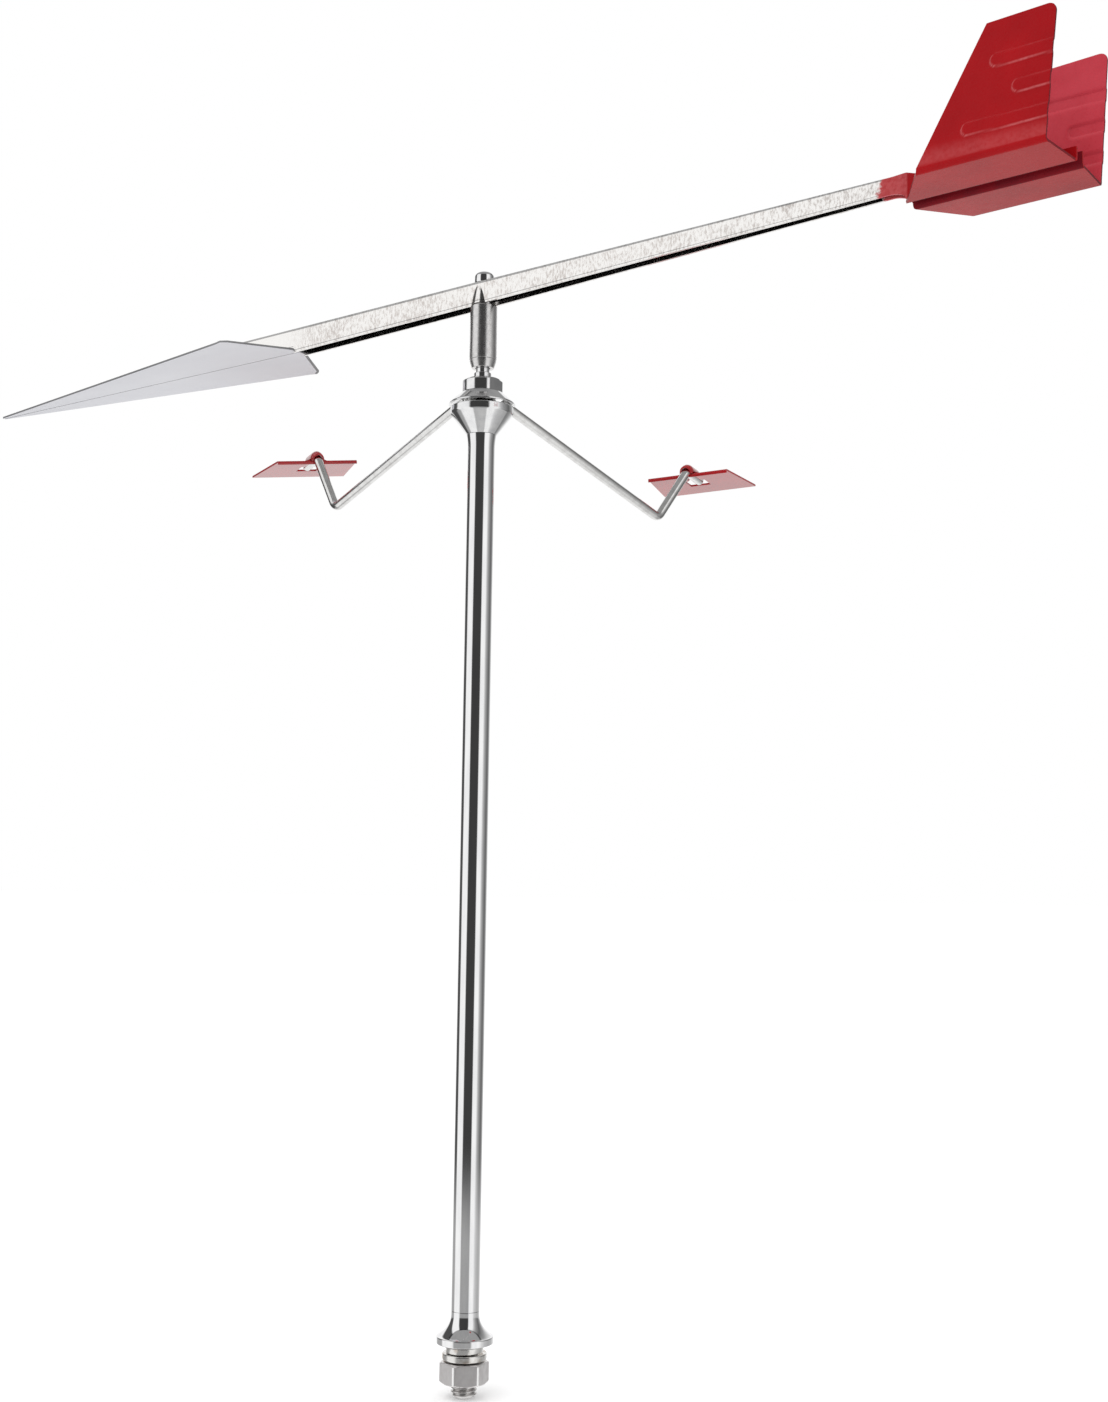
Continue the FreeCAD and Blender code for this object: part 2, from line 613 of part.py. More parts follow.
def tab(arm):
    """Trapezoid tab with a strap lanced up over the rod's end and the window it leaves."""
    blank = plate([
        Vector(0, -TAB_NEAR_HALF, 0), Vector(TAB_LENGTH, -TAB_FAR_HALF, 0),
        Vector(TAB_LENGTH, TAB_FAR_HALF, 0), Vector(0, TAB_NEAR_HALF, 0),
    ], Vector(0, 0, TAB_T))
    near, far, half = TAB_WINDOW
    window = Part.makeBox(far - near, 2 * half, 5, Vector(near, -half, -2))
    axis_start = Vector(STRAP_SPAN[0], 0, TAB_ROD_RISE)
    length = STRAP_SPAN[1] - STRAP_SPAN[0]
    along = Vector(1, 0, 0)
    bore_r = ROD_R + 0.12
    outer_r = bore_r + STRAP_T
    arch = Part.makeCylinder(outer_r, length, axis_start, along)
    legs = Part.makeBox(length, 2 * outer_r, TAB_ROD_RISE, Vector(STRAP_SPAN[0], -outer_r, 0))
    inside = Part.makeCylinder(bore_r, length + 40, Vector(-10, 0, TAB_ROD_RISE), along)
    below = Part.makeBox(length + 2, 2 * bore_r, 12,
                         Vector(STRAP_SPAN[0] - 1, -bore_r, TAB_ROD_RISE - 12))
    under = Part.makeBox(length + 2, 20, 20, Vector(STRAP_SPAN[0] - 1, -10, -20))
    feet = [
        Part.makeBox(length, half - outer_r + 0.6, TAB_T,
                     Vector(STRAP_SPAN[0], side * (half + outer_r) / 2 - (half - outer_r + 0.6) / 2, 0))
        for side in (-1, 1)
    ]
    strap = arch.fuse(legs).cut(inside).cut(below).cut(under)
    shape = blank.cut(window).cut(inside).multiFuse([strap] + feet).removeSplitter()
    shape.Placement = tab_placement(arm)
    return shape


NODES = {
    "pole_tube": pole_tube,
    "foot_flange": foot_flange,
    "mounting_stud": mounting_stud,
    "spring_lock_washer": spring_lock_washer,
    "flat_washer": flat_washer,
    "hex_nut": hex_nut,
    "head_insert": head_insert,
    "head_cone": head_cone,
    "clamp_dome_washer": clamp_dome_washer,
    "pivot_spindle": pivot_spindle,
    "lower_bearing_inner_ring": lambda: bearing_inner_ring(LOWER_BEARING_Z),
    "upper_bearing_inner_ring": lambda: bearing_inner_ring(UPPER_BEARING_Z),
    "bearing_spacer": bearing_spacer,
    "spindle_circlip": spindle_circlip,
    "lower_bearing_outer_ring": lambda: bearing_outer_ring(LOWER_BEARING_Z),
    "upper_bearing_outer_ring": lambda: bearing_outer_ring(UPPER_BEARING_Z),
    "bearing_balls": bearing_balls,
    "bearing_barrel": bearing_barrel,
    "bearing_retainer": bearing_retainer,
    "pivot_cap_screw": pivot_cap_screw,
    "vane_half_near": vane_half_near,
    "vane_half_far": vane_half_far,
    "arm_left": lambda: arm_rod(ARMS["left"]),
    "arm_right": lambda: arm_rod(ARMS["right"]),
    "tab_left": lambda: tab(ARMS["left"]),
    "tab_right": lambda: tab(ARMS["right"]),
}

os.makedirs("parts", exist_ok=True)
for node, build in NODES.items():
    save(node, build())
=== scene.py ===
"""Looks of the masthead wind vane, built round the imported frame.

Lengths in this script are millimetres and become metres where a mesh is made.
+Z is up the pole, -Y is the front. The vane is described along u (aft), v (side), w (up).
"""

import math

import bmesh
import bpy
from mathutils import Matrix, Vector


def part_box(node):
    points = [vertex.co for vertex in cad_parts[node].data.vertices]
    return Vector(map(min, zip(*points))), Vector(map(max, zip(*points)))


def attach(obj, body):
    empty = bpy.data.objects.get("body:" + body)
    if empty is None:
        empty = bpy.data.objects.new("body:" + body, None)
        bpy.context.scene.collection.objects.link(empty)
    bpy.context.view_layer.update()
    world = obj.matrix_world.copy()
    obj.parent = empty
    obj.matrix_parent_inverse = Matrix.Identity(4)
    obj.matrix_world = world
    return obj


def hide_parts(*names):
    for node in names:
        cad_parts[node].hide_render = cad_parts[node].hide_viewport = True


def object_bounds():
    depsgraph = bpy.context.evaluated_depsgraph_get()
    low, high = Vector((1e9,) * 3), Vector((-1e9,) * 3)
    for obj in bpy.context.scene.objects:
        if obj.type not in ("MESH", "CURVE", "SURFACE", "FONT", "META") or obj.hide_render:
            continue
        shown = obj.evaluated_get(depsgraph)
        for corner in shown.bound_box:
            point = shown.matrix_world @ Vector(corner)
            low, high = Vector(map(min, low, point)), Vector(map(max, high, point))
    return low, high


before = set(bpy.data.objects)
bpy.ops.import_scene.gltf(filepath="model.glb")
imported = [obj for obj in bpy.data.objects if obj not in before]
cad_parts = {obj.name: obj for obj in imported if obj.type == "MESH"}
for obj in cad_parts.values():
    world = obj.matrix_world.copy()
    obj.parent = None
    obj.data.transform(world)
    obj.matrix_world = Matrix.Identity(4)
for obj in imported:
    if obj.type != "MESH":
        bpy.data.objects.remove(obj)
cad_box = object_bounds()

MM = 0.001
SEGMENTS = 128
SHARP = math.radians(38)

# ---- sizes that the frame does not give ----
# A name ending in _U, _V or _W is measured along that axis of the vane.
VANE_TURN = math.radians(-39.6)
VANE_Z = 419.85
SHEET = 0.9
NOSE_HALF = 3.66
TAIL_NECK_HALF = 2.33
TAIL_WALL_HALF = 2.97
TAIL_NECK_U = 184.0
TAIL_WALL_U = 190.4
TAIL_END_U = 251.1
TAIL_WALL_TOP = -2.2
TOP_SLOPE = 0.0141
STRIP_DEPTH = 9.3
BOTTOM_SLOPE = 0.0311
STRIP_REAR_DIP = 0.6
ARROW_W = -11.0
ARROW_REAR_U = -105.3
ARROW_OUTLINE = ((-316.0, 0.9), (-127.4, 29.1), (-123.9, 30.1), (-120.9, 28.3), (-105.3, 3.66))
WEB_START_U = -235.0
WEB_FULL_U = -140.0
SEAM = 0.15
FIN_V = 24.2
FIN_FOOT_U = 204.4
FIN_HEEL_U = 249.3
FIN_TIP_FRONT_U = 229.1
FIN_TIP_REAR_U = 252.9
FIN_TIP_FRONT_W = 37.8
FIN_TIP_REAR_W = 38.8
FIN_LEAN = 0.0346
FIN_CORNER = 3.0
SHELF_W = -7.77
SHELF_RISE_U = 0.0193
SHELF_RISE_V = 0.0255
SHELF_MID_U = 220.0
SHELF_MID_V = 13.6
FOLD_R = 1.7
FOLD_STEPS = 6
RIBS = ((24.3, 230.3), (13.8, 237.9), (3.1, 220.4))
RIB_HALF = 2.3
RIB_RAISE = 0.45
PAINT_EDGE_U = 182.0
CLEAN_NOSE_U = (-112.0, -88.0)
SPIGOT_ZONE = 8.0

# Dark lines of the strip, a painted dark reflection: depth of the one at the top, heights above the
# bottom edge.
STRIP_LINE = 0.9
STRIP_LIP = (1.6, 1.1, 0.8, 0.35, 0.0)
# Share of the lighter pink, painted highlight and rubbed paint, on the strip's red end.
STRIP_HIGHLIGHT_AND_WEAR = 0.3
BLADE_RIM = 1.5

# Material slots of the modelled face of the vane sheet: the inner side of a strip, the
# underside of the shelf, the outside of a fin. Thickening gives the sheet's other side
# the slot before (slot 0 stays 0) and its rim the slot after, so the neighbours of a
# slot in VANE_MATERIALS belong to the same part. BEVEL is the slot of softened edges.
LIP, WALL, TOP_LINE, SHELF, BEVEL, GROOVE, FOOT_LINE, FIN = 0, 1, 3, 5, 6, 8, 9, 11
# Painted light in these slots: the strips' slot-facing side (inside) is painted shade, the fins'
# slot-facing face (fin_inner) is painted light, and the rims and bevels (strip_edge) and the grey lines
# (strip_line) are painted dark reflection.
VANE_MATERIALS = [
    "strip", "inside", "strip_line", "inside", "strip", "underside", "strip_edge",
    "strip_line", "strip", "strip_line", "fin_inner", "strip", "strip_edge",
]

ROD_R = 2.0
ROD_BEND = 3.5
ROD_START_R = 10.6
EYE_R = 5.6
EYE_BORE_R = 2.8
EYE_T = 2.0
TAB_NEAR_HALF = 18.1
TAB_FAR_HALF = 21.75
TAB_LENGTH = 38.8
TAB_T = 0.8
TAB_ROD_RISE = 1.6
TAB_ROD_END = 20.0
TAB_ROD_KNEE = -0.6
WINDOW_NEAR = 4.0
WINDOW_FAR = 23.0
WINDOW_HALF = 4.6
STRAP_END = 12.0
STRAP_LIFT = 0.7
ARM_SWING = 15.0
ARMS = {
    "left": {
        "azimuth": 130.2, "eye_z": 370.75, "start_z": 373.3, "elbow": (99.1, 341.1),
        "tab_at": (-73.6, 86.6, 363.9), "tab_turn": (6.2, 1.8, 108.0),
    },
    "right": {
        "azimuth": 38.5, "eye_z": 368.45, "start_z": 371.8, "elbow": (99.6, 337.2),
        "tab_at": (92.1, 72.5, 358.6), "tab_turn": (3.6, 1.1, 67.7),
    },
}


# ---- material helpers ----
def new_material(name):
    material = bpy.data.materials.new(name)
    material.use_nodes = True
    tree = material.node_tree
    return material, tree, tree.nodes["Principled BSDF"]


def add(tree, kind, inputs, **settings):
    """New node; an input is given a value or linked to another node's output."""
    node = tree.nodes.new(kind)
    for key, value in settings.items():
        setattr(node, key, value)
    for key, value in inputs.items():
        if isinstance(value, bpy.types.NodeSocket):
            tree.links.new(value, node.inputs[key])
        else:
            node.inputs[key].default_value = value
    return node


def turned_place(tree, turn):
    """Object coordinates, turned about the pole's axis."""
    place = add(tree, "ShaderNodeTexCoord", {}).outputs["Object"]
    turned = add(tree, "ShaderNodeMapping", {"Vector": place, "Rotation": (0, 0, turn)})
    return turned.outputs["Vector"]


def noise(tree, scale, detail=3.0, turn=0.0, roughness=0.5):
    """Noise in turned object coordinates; scale is in cycles per metre along each axis."""
    stretched = add(tree, "ShaderNodeMapping",
                    {"Vector": turned_place(tree, turn), "Scale": scale})
    cloud = add(tree, "ShaderNodeTexNoise",
                {"Vector": stretched.outputs["Vector"], "Scale": 1.0, "Detail": detail,
                 "Roughness": roughness})
    return cloud.outputs["Fac"]


def remap(tree, value, low, high, to_low, to_high):
    node = add(tree, "ShaderNodeMapRange",
               {"Value": value, "From Min": low, "From Max": high,
                "To Min": to_low, "To Max": to_high})
    return node.outputs["Result"]


def blend_color(tree, share, first, second):
    node = add(tree, "ShaderNodeMix", {}, data_type="RGBA")
    for index, value in ((0, share), (6, first), (7, second)):
        if isinstance(value, bpy.types.NodeSocket):
            tree.links.new(value, node.inputs[index])
        else:
            node.inputs[index].default_value = (*value, 1.0)
    return node.outputs[2]


def calculate(tree, operation, first, second):
    node = add(tree, "ShaderNodeMath", {0: first, 1: second}, operation=operation)
    return node.outputs["Value"]


def bump(tree, height, distance_mm, strength=1.0, base=None):
    inputs = {"Height": height, "Distance": distance_mm * MM, "Strength": strength}
    if base is not None:
        inputs["Normal"] = base
    return add(tree, "ShaderNodeBump", inputs).outputs["Normal"]


def connect(tree, shader, color, roughness, normal, level=0.5):
    tree.links.new(color, shader.inputs["Base Color"])
    tree.links.new(roughness, shader.inputs["Roughness"])
    tree.links.new(normal, shader.inputs["Normal"])
    shader.inputs["Specular IOR Level"].default_value = level


def metal(name, bright, dull, patch, fine, shine, relief, tint=(0.35, 0.7),
          shine_by_fine=False, wavy=False):
    """Bare metal, patchy in colour and shine, with a fine texture pressed into it.

    patch and fine: scale and detail of a noise. shine: range of the noise, then the
    roughness there. relief: depth in mm and strength. tint: range of the patch noise
    over which bright turns dull, or None to use the noise as it is. wavy: slow waves, as on
    drawn tube.
    """
    material, tree, shader = new_material(name)
    patches = noise(tree, *patch)
    texture = noise(tree, *fine)
    share = remap(tree, patches, *tint, 0, 1) if tint else patches
    color = blend_color(tree, share, bright, dull)
    roughness = remap(tree, texture if shine_by_fine else patches, *shine)
    waves = bump(tree, noise(tree, (60, 60, 9), 2.0), 0.05, 0.5) if wavy else None
    connect(tree, shader, color, roughness, bump(tree, texture, *relief, waves))
    shader.inputs["Metallic"].default_value = 1.0
    return material


def turned_steel(name, bright, dull, smoothest, roughest):
    """Lathe-turned and polished: fine rings round the axis."""
    return metal(name, bright, dull, patch=((420, 420, 420), 4.0), fine=((60, 60, 5200), 3.0),
                 shine=(0.3, 0.75, smoothest, roughest), relief=(0.006, 0.6))


def nut_steel(name, bright, dull, smoothest, roughest):
    """Satin steel of a cold-formed nut, with fine tooth."""
    return metal(name, bright, dull, patch=((420, 420, 300), 3.0), fine=((3200, 3200, 3200), 4.0),
                 shine=(0.3, 0.75, smoothest, roughest), relief=(0.02, 0.55), tint=(0.35, 0.68))


RED = (0.33, 0.0055, 0.0085)
RED_DEEP = (0.265, 0.0045, 0.007)
# Lighter pink of the red paint: a painted highlight, partly rubbed paint.
RED_HIGHLIGHT_AND_WEAR = (0.66, 0.20, 0.21)
STRIP_BRIGHT = (0.92, 0.905, 0.885)
STRIP_DULL = (0.66, 0.615, 0.585)


def red_paint_nodes(tree, turn, peel_mm):
    """Colour, roughness and normal of sprayed gloss enamel with orange peel."""
    cloud = noise(tree, (45, 45, 45), 3.0, turn)
    peel = noise(tree, (520, 520, 520), 2.0, turn)
    color = blend_color(tree, remap(tree, cloud, 0.35, 0.7, 0, 1), RED, RED_DEEP)
    # A vertex attribute, mottled by noise, turns the red towards that lighter pink: a painted highlight
    # along the folds and ribs, partly rubbed paint.
    highlight_and_wear = add(tree, "ShaderNodeAttribute", {}, attribute_name="highlight_and_wear").outputs["Fac"]
    highlight_and_wear_mottle = remap(tree, noise(tree, (700, 700, 700), 2.0, turn), 0.3, 0.6, 0.55, 1.0)
    color = blend_color(tree, calculate(tree, "MULTIPLY", highlight_and_wear, highlight_and_wear_mottle), color, RED_HIGHLIGHT_AND_WEAR)
    roughness = remap(tree, peel, 0.3, 0.7, 0.24, 0.34)
    normal = bump(tree, peel, peel_mm, 0.35)
    return color, roughness, normal


def tab_paint():
    """The red enamel of the tabs, glossier than the tail's."""
    material, tree, shader = new_material("tab_red_paint")
    color, roughness, normal = red_paint_nodes(tree, 0.0, 0.0015)
    roughness = calculate(tree, "MULTIPLY", roughness, 0.55)
    connect(tree, shader, color, roughness, normal, 0.8)
    return material


def strip_steel_and_paint(name, bright, dull, level, painted_lighting_red=None):
    """Rolled strip with a mottled, streaked surface; red paint starts at a ragged line.

    The mottling leaves the nose clean. The last argument shifts the red of one side or edge: darker for
    painted shade and dark reflection, lighter for painted light.
    """
    material, tree, shader = new_material(name)
    turn = -VANE_TURN
    streak = noise(tree, (1250, 1250, 560), 4.0, turn, 0.62)
    blotch = noise(tree, (110, 110, 90), 3.0, turn)
    speck = noise(tree, (1500, 1500, 900), 3.0, turn)
    mottle = calculate(tree, "ADD", calculate(tree, "MULTIPLY", streak, 0.87),
                       calculate(tree, "MULTIPLY", blotch, 0.28))
    amount = remap(tree, mottle, 0.53, 0.70, 0.0, 1.0)
    split = add(tree, "ShaderNodeSeparateXYZ", {"Vector": turned_place(tree, turn)})
    along = split.outputs["X"]
    nose_end, mottle_start = CLEAN_NOSE_U
    clean_nose = remap(tree, along, nose_end * MM, mottle_start * MM, 0.0, 1.0)
    amount = calculate(tree, "MULTIPLY", amount, clean_nose)
    steel = blend_color(tree, amount, bright, dull)
    steel_rough = remap(tree, amount, 0.0, 1.0, 0.14, 0.3)
    steel_normal = bump(tree, streak, 0.02, 0.35)
    steel_normal = bump(tree, speck, 0.005, 0.3, steel_normal)
    paint, paint_rough, paint_normal = red_paint_nodes(tree, turn, 0.03)
    # Shifted red of one side or edge: painted shade, painted dark reflection and painted light.
    if painted_lighting_red:
        paint = blend_color(tree, remap(tree, blotch, 0.3, 0.6, 0.75, 0.95), paint, painted_lighting_red)
    ragged = noise(tree, (260, 260, 420), 3.0, turn)
    edge = calculate(tree, "ADD", along, calculate(tree, "MULTIPLY", ragged, 0.006))
    start = (PAINT_EDGE_U + 0.6) * MM
    share = remap(tree, edge, start - 0.0006, start + 0.0006, 0.0, 1.0)
    color = blend_color(tree, share, steel, paint)
    rough = add(tree, "ShaderNodeMix", {0: share, 2: steel_rough, 3: paint_rough}).outputs[0]
    normal = add(tree, "ShaderNodeMix", {0: share, 4: steel_normal, 5: paint_normal},
                 data_type="VECTOR").outputs[1]
    connect(tree, shader, color, rough, normal, level)
    tree.links.new(calculate(tree, "SUBTRACT", 1.0, share), shader.inputs["Metallic"])
    return material


def blade_paint(name, light, dark):
    """Matt light grey of the arrow, with faint clouding and fine tooth."""
    material, tree, shader = new_material(name)
    turn = -VANE_TURN
    cloud = noise(tree, (28, 60, 60), 3.0, turn)
    tooth = noise(tree, (1800, 1800, 1800), 3.0, turn)
    color = blend_color(tree, remap(tree, cloud, 0.3, 0.7, 0, 1), light, dark)
    roughness = remap(tree, tooth, 0.3, 0.7, 0.42, 0.55)
    connect(tree, shader, color, roughness, bump(tree, tooth, 0.002, 0.4), 0.35)
    return material


MATERIALS = {
    "polished": metal(
        "polished_steel", (0.90, 0.90, 0.90), (0.82, 0.82, 0.83),
        patch=((500, 500, 60), 4.0), fine=((2600, 2600, 120), 3.0),
        shine=(0.3, 0.75, 0.035, 0.085), relief=(0.0012, 0.5), wavy=True),
    "turned": turned_steel("turned_steel", (0.86, 0.86, 0.86), (0.76, 0.76, 0.77), 0.06, 0.13),
    "barrel": turned_steel(
        "turned_barrel_steel", (0.78, 0.77, 0.765), (0.66, 0.65, 0.645), 0.24, 0.34),
    "washer": metal(
        "washer_steel", (0.80, 0.79, 0.77), (0.50, 0.43, 0.37),
        patch=((240, 240, 240), 3.0), fine=((900, 900, 900), 4.0),
        shine=(0.3, 0.7, 0.12, 0.26), relief=(0.012, 0.6), tint=(0.45, 0.68), shine_by_fine=True),
    "nut": nut_steel("nut_steel", (0.93, 0.905, 0.90), (0.82, 0.79, 0.785), 0.32, 0.44),
    "nut_corner": nut_steel(
        "nut_rubbed_corner", (0.97, 0.965, 0.96), (0.92, 0.91, 0.90), 0.18, 0.26),
    "thread": metal(
        "thread_steel", (0.72, 0.71, 0.70), (0.48, 0.46, 0.45),
        patch=((500, 500, 500), 3.0), fine=((700, 700, 2400), 4.0),
        shine=(0.3, 0.7, 0.2, 0.36), relief=(0.02, 0.5), shine_by_fine=True),
    "bearing": metal(
        "bearing_steel", (0.80, 0.80, 0.82), (0.68, 0.68, 0.70),
        patch=((800, 800, 800), 3.0), fine=((300, 300, 6000), 2.0),
        shine=(0.3, 0.7, 0.08, 0.16), relief=(0.004, 0.5), tint=None),
    "rod": metal(
        "rod_steel", (0.80, 0.80, 0.79), (0.68, 0.67, 0.66),
        patch=((420, 420, 420), 4.0), fine=((2600, 2600, 1200), 3.0),
        shine=(0.3, 0.72, 0.09, 0.2), relief=(0.003, 0.4)),
    "strip": strip_steel_and_paint(
        "strip_steel_and_tail_paint", STRIP_BRIGHT, STRIP_DULL, 0.08),
    # Near-black steel and dark red on the strips' slot-facing side: painted shade in the slot between the
    # halves.
    "inside": strip_steel_and_paint(
        "strip_inside_painted_shade", (0.045, 0.043, 0.042), (0.03, 0.03, 0.029), 0.03, (0.115, 0.007, 0.012)),
    # Lighter red on the fins' slot-facing faces: painted light, a lit copy of the tail's red.
    "fin_inner": strip_steel_and_paint(
        "fin_inner_painted_light", STRIP_BRIGHT, STRIP_DULL, 0.12, (0.52, 0.05, 0.072)),
    # Grey lines along the strip's top and in its groove: painted dark reflection.
    "strip_line": strip_steel_and_paint(
        "strip_painted_reflection_line", (0.40, 0.395, 0.39), (0.30, 0.295, 0.29), 0.08),
    "underside": strip_steel_and_paint("tail_underside_paint", STRIP_BRIGHT, STRIP_DULL, 0.26),
    # Near-black steel and dark red on the sheet's rims and bevels: painted dark reflection.
    "strip_edge": strip_steel_and_paint(
        "strip_edge_painted_dark_reflection", (0.10, 0.097, 0.095), (0.06, 0.058, 0.056), 0.1, (0.12, 0.009, 0.015)),
    "blade": blade_paint("blade_grey_paint", (0.60, 0.602, 0.63), (0.565, 0.568, 0.60)),
    "blade_edge": blade_paint("blade_edge_paint", (0.20, 0.20, 0.205), (0.13, 0.13, 0.135)),
    "tab": tab_paint(),
}


# ---- mesh helpers ----
def lerp(a, b, share):
    return a + (b - a) * share


def smooth(share):
    share = min(1.0, max(0.0, share))
    return share * share * (3 - 2 * share)


def box_mm(node):
    low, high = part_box(node)
    return low / MM, high / MM


def bezier_corner(before, corner, after, size, steps=6):
    """Points that round one corner, starting and ending `size` away from it."""
    start = corner + (before - corner).normalized() * size
    end = corner + (after - corner).normalized() * size
    points = []
    for i in range(steps + 1):
        t = i / steps
        points.append(start * (1 - t) ** 2 + corner * 2 * t * (1 - t) + end * t ** 2)
    return points


def rounded(corners, closed=False):
    """Outline through (x, y, rounding) corners, with each corner rounded."""
    count = len(corners)
    points = []
    for i, (x, y, size) in enumerate(corners):
        here = Vector((x, y))
        if size == 0 or (not closed and i in (0, count - 1)):
            points.append(here)
            continue
        before = Vector(corners[i - 1][:2])
        after = Vector(corners[(i + 1) % count][:2])
        points.extend(bezier_corner(before, here, after, size))
    return points


def grid_faces(mesh, rows, closed_rows=False, closed_columns=False, material=0):
    """Quads between rows of vertices."""
    last = len(rows) if closed_rows else len(rows) - 1
    for i in range(last):
        row, following = rows[i], rows[(i + 1) % len(rows)]
        columns = len(row) if closed_columns else len(row) - 1
        for j in range(columns):
            k = (j + 1) % len(row)
            corners = [row[j], row[k], following[k], following[j]]
            if len(set(corners)) == 4:
                mesh.faces.new(corners).material_index = material


def link_object(name, data):
    item = bpy.data.objects.new(name, data)
    bpy.context.scene.collection.objects.link(item)
    return item


def around(radius, angle, height):
    """Point at an angle about the pole's axis."""
    return radius * math.cos(angle), radius * math.sin(angle), height


def add_points(mesh, points):
    return [mesh.verts.new(Vector(p) * MM) for p in points]


def finish_piece(name, mesh, body, nodes, materials, recalc=True):
    """Turn a bmesh into a smooth-shaded object that rides on a body."""
    bmesh.ops.remove_doubles(mesh, verts=mesh.verts, dist=1e-7)
    bmesh.ops.dissolve_degenerate(mesh, edges=mesh.edges, dist=1e-8)
    if recalc:
        bmesh.ops.recalc_face_normals(mesh, faces=mesh.faces)
    data = bpy.data.meshes.new(name)
    mesh.to_mesh(data)
    mesh.free()
    for key in materials:
        data.materials.append(MATERIALS[key])
    data.shade_smooth()
    data.set_sharp_from_angle(angle=SHARP)
    piece = link_object(name, data)
    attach(piece, body)
    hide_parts(*nodes)
    return piece


def finish_node(node, mesh, body, materials):
    """Finish a piece that stands for one CAD node, and even out its shading."""
    piece = finish_piece(node + "_finished", mesh, body, [node], materials)
    weight_normals(piece)


def weight_normals(piece):
    modifier = piece.modifiers.new("even_shading", "WEIGHTED_NORMAL")
    modifier.keep_sharp = True
    modifier.weight = 80


def bevel_edges(piece, width_mm, material=-1):
    modifier = piece.modifiers.new("soft_edges", "BEVEL")
    modifier.width = width_mm * MM
    modifier.segments = 2
    modifier.limit_method = "ANGLE"
    modifier.angle_limit = math.radians(50)
    modifier.material = material


def thicken(piece, thickness_mm):
    modifier = piece.modifiers.new("sheet", "SOLIDIFY")
    modifier.thickness = thickness_mm * MM
    modifier.offset = -1.0
    modifier.use_even_offset = True


def lathe_rows(mesh, profile, segments=SEGMENTS, reshape=None):
    """Profile repeated round the axis; reshape moves each point where it is given."""
    rows = []
    for i in range(segments):
        angle = 2 * math.pi * i / segments
        points = []
        for r, z in profile:
            point = around(r, angle, z)
            points.append(reshape(*point) if reshape else point)
        rows.append(add_points(mesh, points))
    return rows


def lathe(name, corners, body, material, ring=False, reshape=None):
    """Turned piece about the pole's axis from rounded (radius, height) corners."""
    mesh = bmesh.new()
    rows = lathe_rows(mesh, rounded(corners, ring), reshape=reshape)
    grid_faces(mesh, rows, closed_rows=True, closed_columns=ring)
    finish_node(name, mesh, body, [material])


# ---- pole and foot ----
def build_pole():
    """Polished tube that widens a little at its top."""
    low, high = box_mm("pole_tube")
    radius = high.x
    wall = 1.25
    flare_out, flare_length = 0.5, 5.5
    corners = [(radius, low.z, 0.08), (radius, 60, 0), (radius, 160, 0), (radius, 260, 0)]
    for i in range(9):
        share = i / 8
        corners.append((radius + flare_out * share ** 2, high.z - flare_length * (1 - share), 0))
    corners += [(radius - wall, high.z, 0.2), (radius - wall, low.z, 0.2)]
    lathe("pole_tube", corners, "mast", "polished", ring=True)


def build_foot():
    """Trumpet foot: rim, concave flare that runs into the pole, and hidden spigot."""
    high = box_mm("foot_flange")[1]
    pole_low, pole_high = box_mm("pole_tube")
    rim_r, pole_r = high.x, pole_high.x
    shoulder_r, spigot_r = rim_r - 0.6, pole_r - 1.3
    rim_top, shoulder_z, neck_z = 2.6, 2.8, 11.0
    seat_z = pole_low.z - 0.06
    corners = [(0, 0, 0), (3.9, 0, 0), (rim_r, 0, 0.35), (rim_r, rim_top, 0.35)]
    corners.append((shoulder_r, shoulder_z, 0))
    for i in range(1, 17):
        share = i / 16
        flare_r = pole_r + (shoulder_r - pole_r) * (1 - share) ** 2.35
        corners.append((flare_r, lerp(shoulder_z, neck_z, share), 0))
    corners += [(pole_r, seat_z, 0.15), (spigot_r, seat_z, 0), (spigot_r, high.z, 0.3)]
    corners.append((0, high.z, 0))
    lathe("foot_flange", corners, "mast", "polished")


# ---- stud, nut and washers ----
def build_stud():
    """M10 stud with its real right-hand thread below the flange."""
    low, high = box_mm("mounting_stud")
    pitch, crest, root = 1.5, 5.0, 4.2
    chamfer, chamfer_slope, end_face_r = 1.1, 1.1, 3.0
    thread_top, core_r = -0.05, 3.88
    count = round((thread_top - low.z) / 0.1)
    mesh = bmesh.new()
    rows = []
    for i in range(96):
        turn = i / 96
        angle = 2 * math.pi * turn
        points = [(0, 0, low.z), around(end_face_r, angle, low.z)]
        for k in range(count + 1):
            z = lerp(low.z, thread_top, k / count)
            phase = (z / pitch - turn) % 1.0
            ridge = smooth(1.18 - 2.5 * abs(phase - 0.5))
            radius = min(lerp(root, crest, ridge), crest - chamfer + (z - low.z) * chamfer_slope)
            points.append(around(radius, angle, z))
        points += [around(core_r, angle, z) for z in (thread_top, high.z)]
        points.append((0, 0, high.z))
        rows.append(add_points(mesh, points))
    grid_faces(mesh, rows, closed_rows=True)
    finish_piece("mounting_stud_finished", mesh, "mast", ["mounting_stud"], ["thread"])


